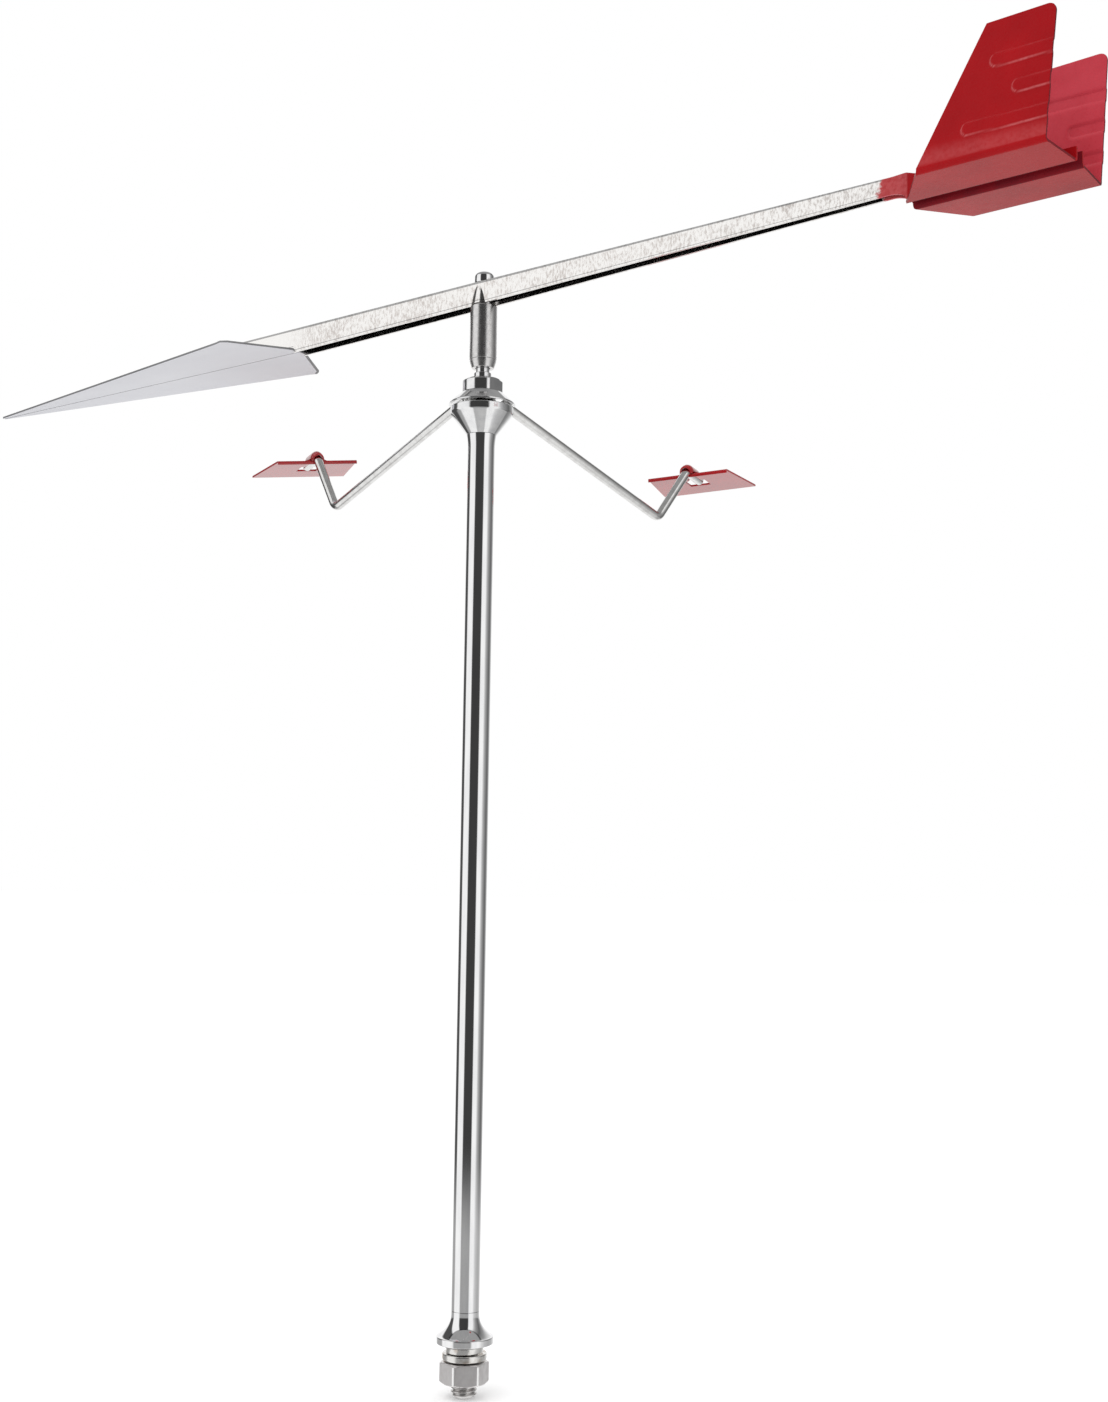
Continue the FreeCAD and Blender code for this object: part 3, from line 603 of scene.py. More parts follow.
def build_nut():
    """Hexagon nut: chamfered corners, washer face and countersunk thread."""
    low, high = box_mm("hex_nut")
    flats = 17.0
    turn = math.radians(5.0)
    bore_r, sink_r, sink_depth = 4.85, 5.45, 0.9
    corner_limit = flats / math.sqrt(3) - 0.26
    rubbed = corner_limit - 0.09
    face_r = flats / 2 - 0.35
    chamfer_rise = math.tan(math.radians(30))
    grows = [(corner_limit - face_r) * share for share in (0.25, 0.5, 0.75, 1.0)]
    bottom, top = low.z, high.z
    profile = [(bore_r, bottom + sink_depth), (sink_r, bottom), (face_r, bottom)]
    profile += [(face_r + grow, bottom + grow * chamfer_rise) for grow in grows]
    profile.append((corner_limit, (bottom + top) / 2))
    profile += [(face_r + grow, top - grow * chamfer_rise) for grow in reversed(grows)]
    profile += [(face_r, top), (sink_r, top), (bore_r, top - sink_depth)]

    def cut_hexagon(x, y, z):
        local = (math.atan2(y, x) - turn) % (math.pi / 3) - math.pi / 6
        cut = min(1.0, flats / 2 / math.cos(local) / math.hypot(x, y))
        return x * cut, y * cut, z

    mesh = bmesh.new()
    rows = lathe_rows(mesh, profile, 240, cut_hexagon)
    grid_faces(mesh, rows, closed_rows=True, closed_columns=True)
    for face in mesh.faces:
        if all(math.hypot(v.co.x, v.co.y) > rubbed * MM for v in face.verts):
            face.material_index = 1
    finish_node("hex_nut", mesh, "mast", ["nut", "nut_corner"])


def build_flat_washer():
    """Plain washer with rounded edges."""
    low, high = box_mm("flat_washer")
    inner = 5.3
    lathe("flat_washer", [
        (inner, low.z, 0.2), (high.x, low.z, 0.5), (high.x, high.z, 0.5), (inner, high.z, 0.2),
    ], "mast", "washer", ring=True)


def build_spring_washer():
    """Split lock washer: one turn of square section with a slanted, lifted split."""
    low, high = box_mm("spring_lock_washer")
    inner, outer, thick = 5.15, 7.3, 2.2
    lift = (high.z - low.z) - thick
    start = math.radians(195)
    sweep = math.radians(345)
    corner = 0.3
    split_slant = 0.12
    section = rounded([
        (inner, 0, corner), (outer, 0, corner), (outer, thick, corner), (inner, thick, corner),
    ], True)
    mesh = bmesh.new()
    rows = []
    steps = 110
    for i in range(steps + 1):
        share = i / steps
        points = []
        for r, z in section:
            angle = start + sweep * share + (z / thick - 0.5) * split_slant
            points.append(around(r, angle, low.z + z + lift * share))
        rows.append(add_points(mesh, points))
    grid_faces(mesh, rows, closed_columns=True)
    mesh.faces.new(rows[0])
    mesh.faces.new(rows[-1])
    finish_node("spring_lock_washer", mesh, "mast", ["washer"])


# ---- clamp head ----
def build_cone():
    """Bored cone under the arms' eyes, with a short cylindrical rim."""
    low, high = box_mm("head_cone")
    rim_r = high.x
    bore, foot_r, rim_low = 2.6, 6.0, 365.4
    lathe("head_cone", [
        (bore, low.z, 0), (foot_r, low.z, 0.1), (rim_r, rim_low, 0.6), (rim_r, high.z, 0.5),
        (bore, high.z, 0),
    ], "mast", "turned", ring=True)


def swept_sector(mesh, profile, start, end, steps):
    """Solid made by turning a closed outline from one azimuth to another."""
    rows = []
    for i in range(steps + 1):
        angle = start + (end - start) * i / steps
        rows.append(add_points(mesh, [around(r, angle, z) for r, z in profile]))
    grid_faces(mesh, rows, closed_columns=True)
    mesh.faces.new(rows[0])
    mesh.faces.new(rows[-1])


def build_dome():
    """Domed clamp washer: a full hub and a skirt with two windows for the arms."""
    low, high = box_mm("clamp_dome_washer")
    edge_r, hub_r, bore = 13.4, 8.0, 2.6
    ceiling = 372.95
    mesh = bmesh.new()
    hub = [(bore, high.z), (hub_r, high.z), (hub_r, ceiling), (bore, ceiling)]
    rows = lathe_rows(mesh, hub)
    grid_faces(mesh, rows, closed_rows=True, closed_columns=True)
    skirt = rounded([
        (hub_r - 0.02, high.z, 0), (hub_r + 0.5, high.z - 0.05, 0.3), (edge_r, low.z + 0.55, 0.3),
        (edge_r, low.z, 0.15), (edge_r - 0.6, low.z, 0.1), (hub_r - 0.02, ceiling, 0),
    ], True)
    half = math.asin((ROD_R + 0.4) / hub_r) + math.radians(ARM_SWING + 1)
    left = math.radians(ARMS["left"]["azimuth"])
    right = math.radians(ARMS["right"]["azimuth"])
    swept_sector(mesh, skirt, left + half, right - half + 2 * math.pi, 100)
    swept_sector(mesh, skirt, right + half, left - half, 24)
    finish_node("clamp_dome_washer", mesh, "mast", ["turned"])


# ---- pivot ----
def build_spindle():
    """Thread, boss with two wrench flats, collar, neck and bearing shaft."""
    low, high = box_mm("pivot_spindle")
    boss_low, boss_high, boss_r, half_flats = 374.2, 379.6, 8.2, 7.0
    flats_azimuth = math.radians(-38)
    normal = Vector((math.cos(flats_azimuth), math.sin(flats_azimuth)))

    def flatten(x, y, z):
        if z < boss_low - 0.01 or z > boss_high + 0.01:
            return x, y, z
        depth = x * normal.x + y * normal.y
        over = max(0.0, abs(depth) - half_flats) * math.copysign(1, depth)
        return x - over * normal.x, y - over * normal.y, z

    lathe("pivot_spindle", [
        (0, low.z, 0), (2.05, low.z, 0), (2.45, low.z + 0.6, 0), (2.45, boss_low, 0),
        (boss_r, boss_low, 0.2), (boss_r, boss_high - 0.9, 0.25), (boss_r - 1.2, boss_high, 0.3),
        (3.55, boss_high, 0.25), (3.55, 382.4, 0.35), (2.75, 382.4, 0.1), (2.75, 388.35, 0.05),
        (2.0, 388.35, 0), (2.0, high.z, 0.3), (0, high.z, 0),
    ], "mast", "turned", reshape=flatten)


def build_barrel():
    """Barrel over the bearings and the tapered spigot that the strips clasp."""
    low, high = box_mm("bearing_barrel")
    barrel_r = high.x
    shoulder_z = 410.3
    lathe("bearing_barrel", [
        (4.0, low.z, 0.1), (barrel_r, low.z, 0.35), (barrel_r - 0.1, shoulder_z, 0.55),
        (4.05, shoulder_z, 0.15), (2.7, high.z, 0.2), (1.62, high.z, 0), (1.62, 411.0, 0),
        (3.4, 405.6, 0), (3.4, 402.65, 0), (4.0, 402.65, 0),
    ], "vane", "barrel", ring=True)


def build_retainer():
    """Tapered collar in the barrel's mouth."""
    low, high = box_mm("bearing_retainer")
    lathe("bearing_retainer", [
        (3.0, low.z, 0.1), (4.5, low.z, 0.25), (high.x, 387.35, 0.25), (high.x, 387.8, 0.1),
        (3.95, 387.8, 0), (3.95, high.z, 0), (3.0, high.z, 0),
    ], "vane", "barrel", ring=True)


def build_cap_screw():
    """Pan head with a cross recess pressed into its crown."""
    low, high = box_mm("pivot_cap_screw")
    seat = VANE_Z + 0.1
    head_r, shank_r = high.x, 1.55
    shoulder = seat + 2.6
    crown = high.z - 0.7
    arm_half, arm_reach, arm_slope, recess_depth = 0.42, 1.9, 0.16, 1.1
    profile = [(0, low.z), (shank_r, low.z), (shank_r, seat), (head_r - 0.15, seat), (head_r, seat + 0.2)]
    for i in range(14):
        angle = math.radians(90 * i / 14)
        profile.append((head_r * math.cos(angle) ** 0.8, lerp(shoulder, crown, math.sin(angle))))
    rim = profile[-1][0]
    profile += [(rim * (1 - i / 12), crown) for i in range(1, 13)]

    def press_cross(x, y, z):
        if z <= shoulder + 0.1:
            return x, y, z
        outside = max(min(abs(x), abs(y)) - arm_half, max(abs(x), abs(y)) - arm_reach)
        return x, y, z - recess_depth * min(1.0, max(0.0, 0.5 - outside / arm_slope))

    mesh = bmesh.new()
    grid_faces(mesh, lathe_rows(mesh, profile, 160, press_cross), closed_rows=True)
    finish_node("pivot_cap_screw", mesh, "vane", ["turned"])


# ---- vane ----
def along(points, x):
    """Height of a polyline given as (x, y) points."""
    for (x0, y0), (x1, y1) in zip(points, points[1:]):
        if x <= x1:
            return lerp(y0, y1, (x - x0) / (x1 - x0))
    return points[-1][1]


def shelf_height(u, v):
    return SHELF_W + SHELF_RISE_U * (u - SHELF_MID_U) + SHELF_RISE_V * (v - SHELF_MID_V)


def wall_half(u):
    """Half width over the two strips."""
    if u <= 0:
        return NOSE_HALF
    if u <= TAIL_NECK_U:
        return lerp(NOSE_HALF, TAIL_NECK_HALF, u / TAIL_NECK_U)
    return lerp(TAIL_NECK_HALF, TAIL_WALL_HALF, smooth((u - TAIL_NECK_U) / (TAIL_WALL_U - TAIL_NECK_U)))


def wall_top(u):
    blade_top = ARROW_W + SHEET
    return along([
        (WEB_START_U, blade_top + 0.3), (WEB_FULL_U, TOP_SLOPE * WEB_FULL_U),
        (TAIL_WALL_U, TOP_SLOPE * TAIL_WALL_U), (TAIL_WALL_U + 16, TAIL_WALL_TOP),
        (TAIL_END_U, TAIL_WALL_TOP),
    ], u)


def wall_bottom(u):
    if u < ARROW_REAR_U:
        return ARROW_W + SHEET - 0.2
    if u <= 0:
        rear = BOTTOM_SLOPE * ARROW_REAR_U - STRIP_DEPTH + STRIP_REAR_DIP
        return lerp(rear, -STRIP_DEPTH, 1 - u / ARROW_REAR_U)
    if u <= TAIL_NECK_U - 1:
        return BOTTOM_SLOPE * u - STRIP_DEPTH
    neck = BOTTOM_SLOPE * (TAIL_NECK_U - 1) - STRIP_DEPTH
    foot = shelf_height(TAIL_WALL_U, TAIL_WALL_HALF) + FOLD_R
    share = min(1.0, (u - TAIL_NECK_U + 1) / (TAIL_WALL_U - TAIL_NECK_U + 1))
    if share < 1:
        return lerp(neck, foot, 1 - math.sqrt(1 - share ** 2))
    return shelf_height(u, TAIL_WALL_HALF) + FOLD_R


def wall_side(u, w):
    """Inner face of the strip, pressed outwards round the spigot below the pivot."""
    side = wall_half(u) - SHEET
    rise = (w + STRIP_DEPTH) / (STRIP_DEPTH - 1.2)
    spigot = lerp(4.2, 2.8, min(1.0, rise)) * (1 if rise < 1 else max(0.0, 1 - (rise - 1) * 6))
    bulge = math.sqrt(max(0.0, spigot ** 2 - u ** 2))
    if bulge <= side - 0.3:
        return side
    blend = smooth((bulge - side + 0.3) / 0.6)
    return lerp(side, max(side, bulge), blend)


def rib_distance(middle, front, u, w):
    """Distance from a rib's outline, negative inside it."""
    return math.hypot(max(0.0, front + RIB_HALF - u), w - middle) - RIB_HALF


def fin_rib_raise(u, w):
    """Height of the pressed ribs on the outside of a fin."""
    distance = min(rib_distance(middle, front, u, w) for middle, front in RIBS)
    return smooth(-distance / 0.8 + 0.4) * RIB_RAISE


def paint_highlight_and_wear(station, point):
    """Painted highlight, partly rubbed pinker paint, along the folds and the lower sides of the ribs, 0
    to 1.
    """
    if station[0] == "shelf":
        return 0.0
    u, w = point.x, point.z
    # Faint band just above the fin's fold: painted reflection of the paint's orange peel.
    highlight_and_worn = 0.16 * smooth((1.5 - w) / 5) * smooth((w + 6.5) / 2)
    for middle, front in RIBS:
        distance = rib_distance(middle, front, u, w)
        line = max(0.0, 1 - abs(distance + 0.1) / 0.3)
        # Stronger on a rib's lower side: painted highlight where the light falls.
        lower = smooth((middle - w + 0.6) / 1.6) if u > front + 1 else 1.0
        highlight_and_worn = max(highlight_and_worn, line * lerp(0.1, 0.62, lower))
    return highlight_and_worn


def steps_between(start, end, step):
    count = max(1, round(abs(end - start) / step))
    return [lerp(start, end, i / count) for i in range(count + 1)]


def tail_path():
    """Stations from the foot of the wall, round both folds, to the tip of the fin."""
    inner = TAIL_WALL_HALF - SHEET
    path = []
    for i in range(1, FOLD_STEPS + 1):
        angle = math.radians(90 * i / FOLD_STEPS)
        path.append(("shelf", inner + FOLD_R * (1 - math.cos(angle)), FOLD_R * (1 - math.sin(angle))))
    for v in steps_between(inner + FOLD_R, FIN_V - FOLD_R, 1.2)[1:]:
        path.append(("shelf", v, 0.0))
    for i in range(1, FOLD_STEPS + 1):
        angle = math.radians(90 * i / FOLD_STEPS)
        rise = FOLD_R * (1 - math.cos(angle))
        path.append(("shelf", FIN_V - FOLD_R + FOLD_R * math.sin(angle), rise))
    for share in steps_between(0.0, 1.0, 0.011)[1:]:
        path.append(("fin", share, 0.0))
    return path


def tail_point(kind, place, lift, share):
    if kind == "shelf":
        out = min(1.0, max(0.0, (place - TAIL_WALL_HALF) / (FIN_V - TAIL_WALL_HALF)))
        u = lerp(lerp(TAIL_WALL_U, FIN_FOOT_U, out), lerp(TAIL_END_U, FIN_HEEL_U, out), share)
        return u, -place, shelf_height(u, place) + lift
    u = lerp(lerp(FIN_FOOT_U, FIN_TIP_FRONT_U, place), lerp(FIN_HEEL_U, FIN_TIP_REAR_U, place), share)
    tip_w = lerp(FIN_TIP_FRONT_W, FIN_TIP_REAR_W, share)
    w = lerp(shelf_height(u, FIN_V) + FOLD_R, tip_w, place)
    u, w = round_fin_corner(u, w)
    v = -FIN_V + FIN_LEAN * (w - SHELF_W)
    return u, v - fin_rib_raise(u, w), w


def round_fin_corner(u, w):
    """Pull the fin's upper rear corner onto an arc."""
    centre_u, centre_w = FIN_TIP_REAR_U - FIN_CORNER, FIN_TIP_REAR_W - FIN_CORNER
    du, dw = u - centre_u, w - centre_w
    if du <= 0 or dw <= 0:
        return u, w
    reach = math.hypot(du, dw)
    square = max(du, dw)
    return centre_u + du * square / reach, centre_w + dw * square / reach


def build_vane_half(name, side):
    """One folded sheet: web and strip, tail wall, shelf and fin; then its arrow blade."""
    turn = Matrix.Rotation(VANE_TURN, 3, "Z")

    def place(u, v, w):
        return turn @ Vector((u, v * side, w)) + Vector((0, 0, VANE_Z))

    strip_us = steps_between(WEB_START_U, ARROW_REAR_U - 0.05, 3.0)
    strip_us += steps_between(ARROW_REAR_U, -SPIGOT_ZONE, 3.0)
    strip_us += steps_between(-SPIGOT_ZONE, SPIGOT_ZONE, 0.4)[1:]
    strip_us += steps_between(SPIGOT_ZONE, TAIL_NECK_U - 1, 3.0)[1:]
    strip_us += steps_between(TAIL_NECK_U - 1, TAIL_WALL_U, 0.6)[1:]
    tail_shares = [i / 100 for i in range(1, 101)]
    strip_us += [lerp(TAIL_WALL_U, TAIL_END_U, share) for share in tail_shares]
    mesh = bmesh.new()
    highlight_and_wear = mesh.verts.layers.float.new("highlight_and_wear")
    columns = []
    line_row, lip_row, last_row = 2, 16, 20
    wall_rows = lip_row - line_row
    for u in strip_us:
        top, bottom = wall_top(u), wall_bottom(u)
        full = min(1.0, (top - bottom) / STRIP_DEPTH)
        line = STRIP_LINE * full
        levels = [top, top - line / 2]
        lip = bottom + STRIP_LIP[0] * full
        levels += [lerp(top - line, lip, j / wall_rows) for j in range(wall_rows + 1)]
        levels += [bottom + height * full for height in STRIP_LIP[1:]]
        columns.append(add_points(mesh, [place(u, -wall_side(u, w), w) for w in levels]))
    plain = columns[:len(columns) - len(tail_shares)]
    tail_wall = columns[len(plain) - 1:]
    bands = [
        (columns, 0, line_row, TOP_LINE), (columns, line_row, lip_row, WALL),
        (tail_wall, lip_row, last_row, WALL), (plain, lip_row, lip_row + 1, LIP),
        (plain, lip_row + 1, lip_row + 2, GROOVE), (plain, lip_row + 2, lip_row + 3, LIP),
        (plain, lip_row + 3, last_row, FOOT_LINE),
    ]
    path = tail_path()
    tail = []
    for column, share in zip(tail_wall, [0.0] + tail_shares):
        points = [place(*tail_point(*station, share)) for station in path]
        tail.append([column[-1]] + add_points(mesh, points))
    fin_row = sum(1 for station in path if station[0] == "shelf") - FOLD_STEPS
    bands += [
        (tail, 0, FOLD_STEPS, WALL), (tail, FOLD_STEPS, fin_row, SHELF),
        (tail, fin_row, len(path), FIN),
    ]
    for band, first, last, slot in bands:
        grid_faces(mesh, [column[first:last + 1] for column in band], material=slot)
    mesh.normal_update()
    inside = turn @ Vector((0, side, 0))
    if mesh.faces[:][0].normal.dot(inside) < 0:
        bmesh.ops.reverse_faces(mesh, faces=mesh.faces)
    # How far each vertex's red turns lighter pink: painted highlight, partly rubbed paint.
    for column in plain:
        for vertex in column:
            vertex[highlight_and_wear] = STRIP_HIGHLIGHT_AND_WEAR
    for column in tail:
        for vertex, station in zip(column[1:], path):
            local = turn.inverted() @ (vertex.co / MM - Vector((0, 0, VANE_Z)))
            vertex[highlight_and_wear] = paint_highlight_and_wear(station, local)
    piece = finish_piece(name + "_finished", mesh, "vane", [name], VANE_MATERIALS,
                         recalc=False)
    thicken(piece, SHEET)
    piece.modifiers["sheet"].material_offset = -1
    piece.modifiers["sheet"].material_offset_rim = 1
    bevel_edges(piece, 0.3, material=BEVEL)
    weight_normals(piece)
    build_blade(name, place)


def build_blade(name, place):
    """Flat arrow blade of one half, under the strip's nose, with dark cut edges.

    On the far half the rim behind the barb is dark too.
    """
    blade_us = steps_between(ARROW_OUTLINE[0][0], ARROW_OUTLINE[1][0], 4.0)
    for front, back in zip(ARROW_OUTLINE[1:], ARROW_OUTLINE[2:]):
        blade_us += steps_between(front[0], back[0], 1.0)[1:]
    mesh = bmesh.new()
    blade = []
    rim_row = 9
    for u in blade_us:
        edge = along(ARROW_OUTLINE, u)
        rim = edge - min(BLADE_RIM, (edge - SEAM) * 0.3)
        spread = [lerp(SEAM, rim, j / rim_row) for j in range(rim_row + 1)] + [edge]
        blade.append(add_points(mesh, [place(u, -v, ARROW_W) for v in spread]))
    barb = max(ARROW_OUTLINE, key=lambda point: point[1])[0]
    plain = len(blade_us) if name == "vane_half_near" else sum(1 for u in blade_us if u < barb)
    grid_faces(mesh, [row[:rim_row + 1] for row in blade])
    grid_faces(mesh, [row[rim_row:] for row in blade[:plain + 1]])
    grid_faces(mesh, [row[rim_row:] for row in blade[plain:]], material=1)
    mesh.normal_update()
    if mesh.faces[:][0].normal.z > 0:
        bmesh.ops.reverse_faces(mesh, faces=mesh.faces)
    piece = finish_piece(name + "_arrow_blade", mesh, "vane", [name],
                         ["blade", "blade_edge"], recalc=False)
    thicken(piece, SHEET)
    piece.modifiers["sheet"].material_offset_rim = 1
    bevel_edges(piece, 0.15)
    weight_normals(piece)


# ---- reference arms and tabs ----
def polar(radius, azimuth, height):
    return Vector(around(radius, math.radians(azimuth), height))


def arc_path(points, bend, steps=14):
    """Path through the points with a round bend at each corner."""
    path = [points[0]]
    for before, corner, after in zip(points, points[1:], points[2:]):
        arrive = (corner - before).normalized()
        leave = (after - corner).normalized()
        turn = arrive.angle(leave)
        setback = bend * math.tan(turn / 2)
        start = corner - arrive * setback
        normal = (leave - arrive * arrive.dot(leave)).normalized()
        centre = start + normal * bend
        for i in range(steps + 1):
            angle = turn * i / steps
            path.append(centre - normal * bend * math.cos(angle) + arrive * bend * math.sin(angle))
    path.append(points[-1])
    return path


def sweep_tube(mesh, path, radius, sides=28):
    """Round tube along a path, with rounded ends."""
    tangents = []
    for i in range(len(path)):
        before = path[max(0, i - 1)]
        after = path[min(len(path) - 1, i + 1)]
        tangents.append((after - before).normalized())
    across = tangents[0].cross(Vector((0, 0, 1))).normalized()
    rings = []
    end_rise, end_radius = 0.5, radius * 0.62
    stations = [(path[0] - tangents[0] * end_rise, tangents[0], end_radius)]
    stations += [(point, tangent, radius) for point, tangent in zip(path, tangents)]
    stations.append((path[-1] + tangents[-1] * end_rise, tangents[-1], end_radius))
    for point, tangent, size in stations:
        across = (across - tangent * across.dot(tangent)).normalized()
        up = across.cross(tangent)
        ring = []
        for i in range(sides):
            angle = 2 * math.pi * i / sides
            ring.append(point + (across * math.cos(angle) + up * math.sin(angle)) * size)
        rings.append(add_points(mesh, ring))
    grid_faces(mesh, rings, closed_columns=True)
    mesh.faces.new(rings[0])
    mesh.faces.new(rings[-1])


def tab_frame(arm):
    """Local frame of a tab: +X runs from its near edge to its far edge, +Z is up."""
    roll, pitch, yaw = (math.radians(a) for a in arm["tab_turn"])
    turn = Matrix.Rotation(yaw, 4, "Z") @ Matrix.Rotation(-pitch, 4, "Y") @ Matrix.Rotation(-roll, 4, "X")
    return Matrix.Translation(Vector(arm["tab_at"])) @ turn


def build_arm(side, arm):
    """Bent rod with a flat eye under the clamp washer."""
    azimuth = arm["azimuth"]
    start = polar(ROD_START_R, azimuth, arm["start_z"])
    elbow = polar(arm["elbow"][0], azimuth, arm["elbow"][1])
    place = tab_frame(arm)
    knee = place @ Vector((TAB_ROD_KNEE, 0, TAB_ROD_RISE))
    end = place @ Vector((TAB_ROD_END, 0, TAB_ROD_RISE))
    mesh = bmesh.new()
    sweep_tube(mesh, arc_path([start, elbow, knee, end], ROD_BEND), ROD_R)
    eye_mid = arm["eye_z"] + EYE_T / 2
    lug = arc_path([polar(4.5, azimuth, eye_mid), polar(9.4, azimuth, eye_mid), start], 0.8, 6)
    sweep_tube(mesh, lug, EYE_T / 2 + 0.25)
    eye = rounded([
        (EYE_BORE_R, arm["eye_z"], 0.15), (EYE_R, arm["eye_z"], 0.4),
        (EYE_R, arm["eye_z"] + EYE_T, 0.4), (EYE_BORE_R, arm["eye_z"] + EYE_T, 0.15),
    ], True)
    grid_faces(mesh, lathe_rows(mesh, eye, 64), closed_rows=True, closed_columns=True)
    finish_node("arm_" + side, mesh, side + "_arm", ["rod"])


def build_tab(side, arm):
    """Sheet tab with a folded near edge, a window, and a strap lanced up over the rod.

    The strap starts as a hood that follows the rod's bend.
    """
    place = tab_frame(arm)
    mesh = bmesh.new()

    def half_width(x):
        return lerp(TAB_NEAR_HALF, TAB_FAR_HALF, x / TAB_LENGTH)

    xs = sorted(set(steps_between(0, WINDOW_NEAR, 1.0) + steps_between(WINDOW_NEAR, WINDOW_FAR, 1.9)
                    + steps_between(WINDOW_FAR, TAB_LENGTH, 1.6)))
    inner = steps_between(-WINDOW_HALF, WINDOW_HALF, 1.15)
    outer = 8
    rows = []
    lip = [(0.1, -0.6), (0.0, -0.4), (0.0, -0.2), (0.1, -0.05), (0.35, 0.0)]
    stations = lip + [(x, 0.0) for x in xs if x > 0.6]
    for x, z in stations:
        side_w = half_width(max(0, x))
        ys = [lerp(-side_w, -WINDOW_HALF, i / outer) for i in range(outer)]
        ys += inner
        ys += [lerp(WINDOW_HALF, side_w, (i + 1) / outer) for i in range(outer)]
        rows.append(add_points(mesh, [place @ Vector((x, y, z)) for y in ys]))
    for i in range(len(rows) - 1):
        x0, x1 = stations[i][0], stations[i + 1][0]
        over_window = WINDOW_NEAR - 0.01 <= x0 and x1 <= WINDOW_FAR + 0.01
        for j in range(len(rows[i]) - 1):
            if not (over_window and outer <= j < outer + len(inner) - 1):
                mesh.faces.new([rows[i][j], rows[i][j + 1], rows[i + 1][j + 1], rows[i + 1][j]])
    strap = []
    bore = ROD_R + 0.12
    drop = 0.3
    crown = bore + drop + STRAP_LIFT
    springing = TAB_ROD_RISE - drop
    elbow = place.inverted() @ polar(arm["elbow"][0], arm["azimuth"], arm["elbow"][1])
    knee, end = Vector((TAB_ROD_KNEE, 0, TAB_ROD_RISE)), Vector((TAB_ROD_END, 0, TAB_ROD_RISE))
    bend = arc_path([elbow, knee, end], ROD_BEND)
    bend = bend[1:-1][len(bend) // 4:]
    arch_steps, tuck_steps = 12, 3
    for here, after in zip(bend, bend[1:]):
        out = (after - here).cross(Vector((0, 1, 0))).normalized()
        hood = []
        for i in range(-tuck_steps, arch_steps + tuck_steps + 1):
            angle = math.pi * (1 - min(arch_steps, max(0, i)) / arch_steps)
            tuck = 0.04 * (max(0, -i) + max(0, i - arch_steps))
            across = (bore + tuck) * math.cos(angle)
            hood.append(here + Vector((0, across, 0)) + out * (crown * math.sin(angle) - drop - tuck))
        strap.append(add_points(mesh, [place @ point for point in hood]))
    for x in steps_between(bend[-1].x + 0.3, STRAP_END, 0.95):
        leg = [(WINDOW_HALF + 0.4, 0.0), (bore + 1.0, 0.0), (bore + 0.35, 0.25)]
        arch = [(-y, z) for y, z in leg]
        for i in range(arch_steps + 1):
            angle = math.pi * (1 - i / arch_steps)
            arch.append((bore * math.cos(angle), springing + crown * math.sin(angle)))
        arch += reversed(leg)
        strap.append(add_points(mesh, [place @ Vector((x, y, z + 0.02)) for y, z in arch]))
    grid_faces(mesh, strap)
    mesh.normal_update()
    up = place.to_3x3() @ Vector((0, 0, 1))
    flipped = [f for f in mesh.faces if f.normal.dot(up) < -0.2]
    bmesh.ops.reverse_faces(mesh, faces=flipped)
    bmesh.ops.recalc_face_normals(mesh, faces=mesh.faces)
    mesh.normal_update()
    wrong = sum(1 for f in mesh.faces if f.normal.dot(up) < 0)
    if wrong * 2 > len(mesh.faces):
        bmesh.ops.reverse_faces(mesh, faces=mesh.faces)
    node = "tab_" + side
    piece = finish_piece(node + "_finished", mesh, side + "_arm", [node], ["tab"], recalc=False)
    thicken(piece, TAB_T)
    piece.modifiers["sheet"].offset = 1.0
    bevel_edges(piece, 0.14)
    weight_normals(piece)


# ---- carried-over parts ----
def dress_frame_parts():
    """Material for the parts whose frame mesh is shown as it is."""
    for node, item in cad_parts.items():
        if item.hide_render:
            continue
        key = "turned" if node == "head_insert" else "bearing"
        item.data.materials.clear()
        item.data.materials.append(MATERIALS[key])


# ---- studio ----
# Azimuth and brightness round the ring; 0 is the front, and 1 is a white card.
STUDIO_CARDS = (
    (-180, 1.0), (-146, 1.0), (-141, 0.08), (-105, 0.08), (-98, 1.0), (-50, 1.0), (-43, 0.05),
    (23, 0.05), (29, 1.0), (60, 1.0), (71, 0.58), (84, 0.35), (97, 0.24), (112, 0.13),
    (134, 0.34), (160, 1.0), (180, 1.0),
)
# Heights in metres, and how bright the table, the floor and the lid look in reflections.
CARD_RADIUS = 0.84
CARD_TOP = 1.25
CARD_FOOT = -0.04
CARD_FADE = 0.08
CARD_BOTTOM = -0.7
LOW_GLOW = 0.35
FLOOR_GLOW = 0.55
LID_GLOW = 0.34
SHADE_FOOT = 1.03
SHADE_TOP = 1.13


def stage_piece(name, mesh, material):
    """Studio object from a bmesh, kept out of the part's visual model."""
    data = bpy.data.meshes.new(name)
    mesh.to_mesh(data)
    mesh.free()
    data.materials.append(material)
    piece = link_object(name, data)
    return piece


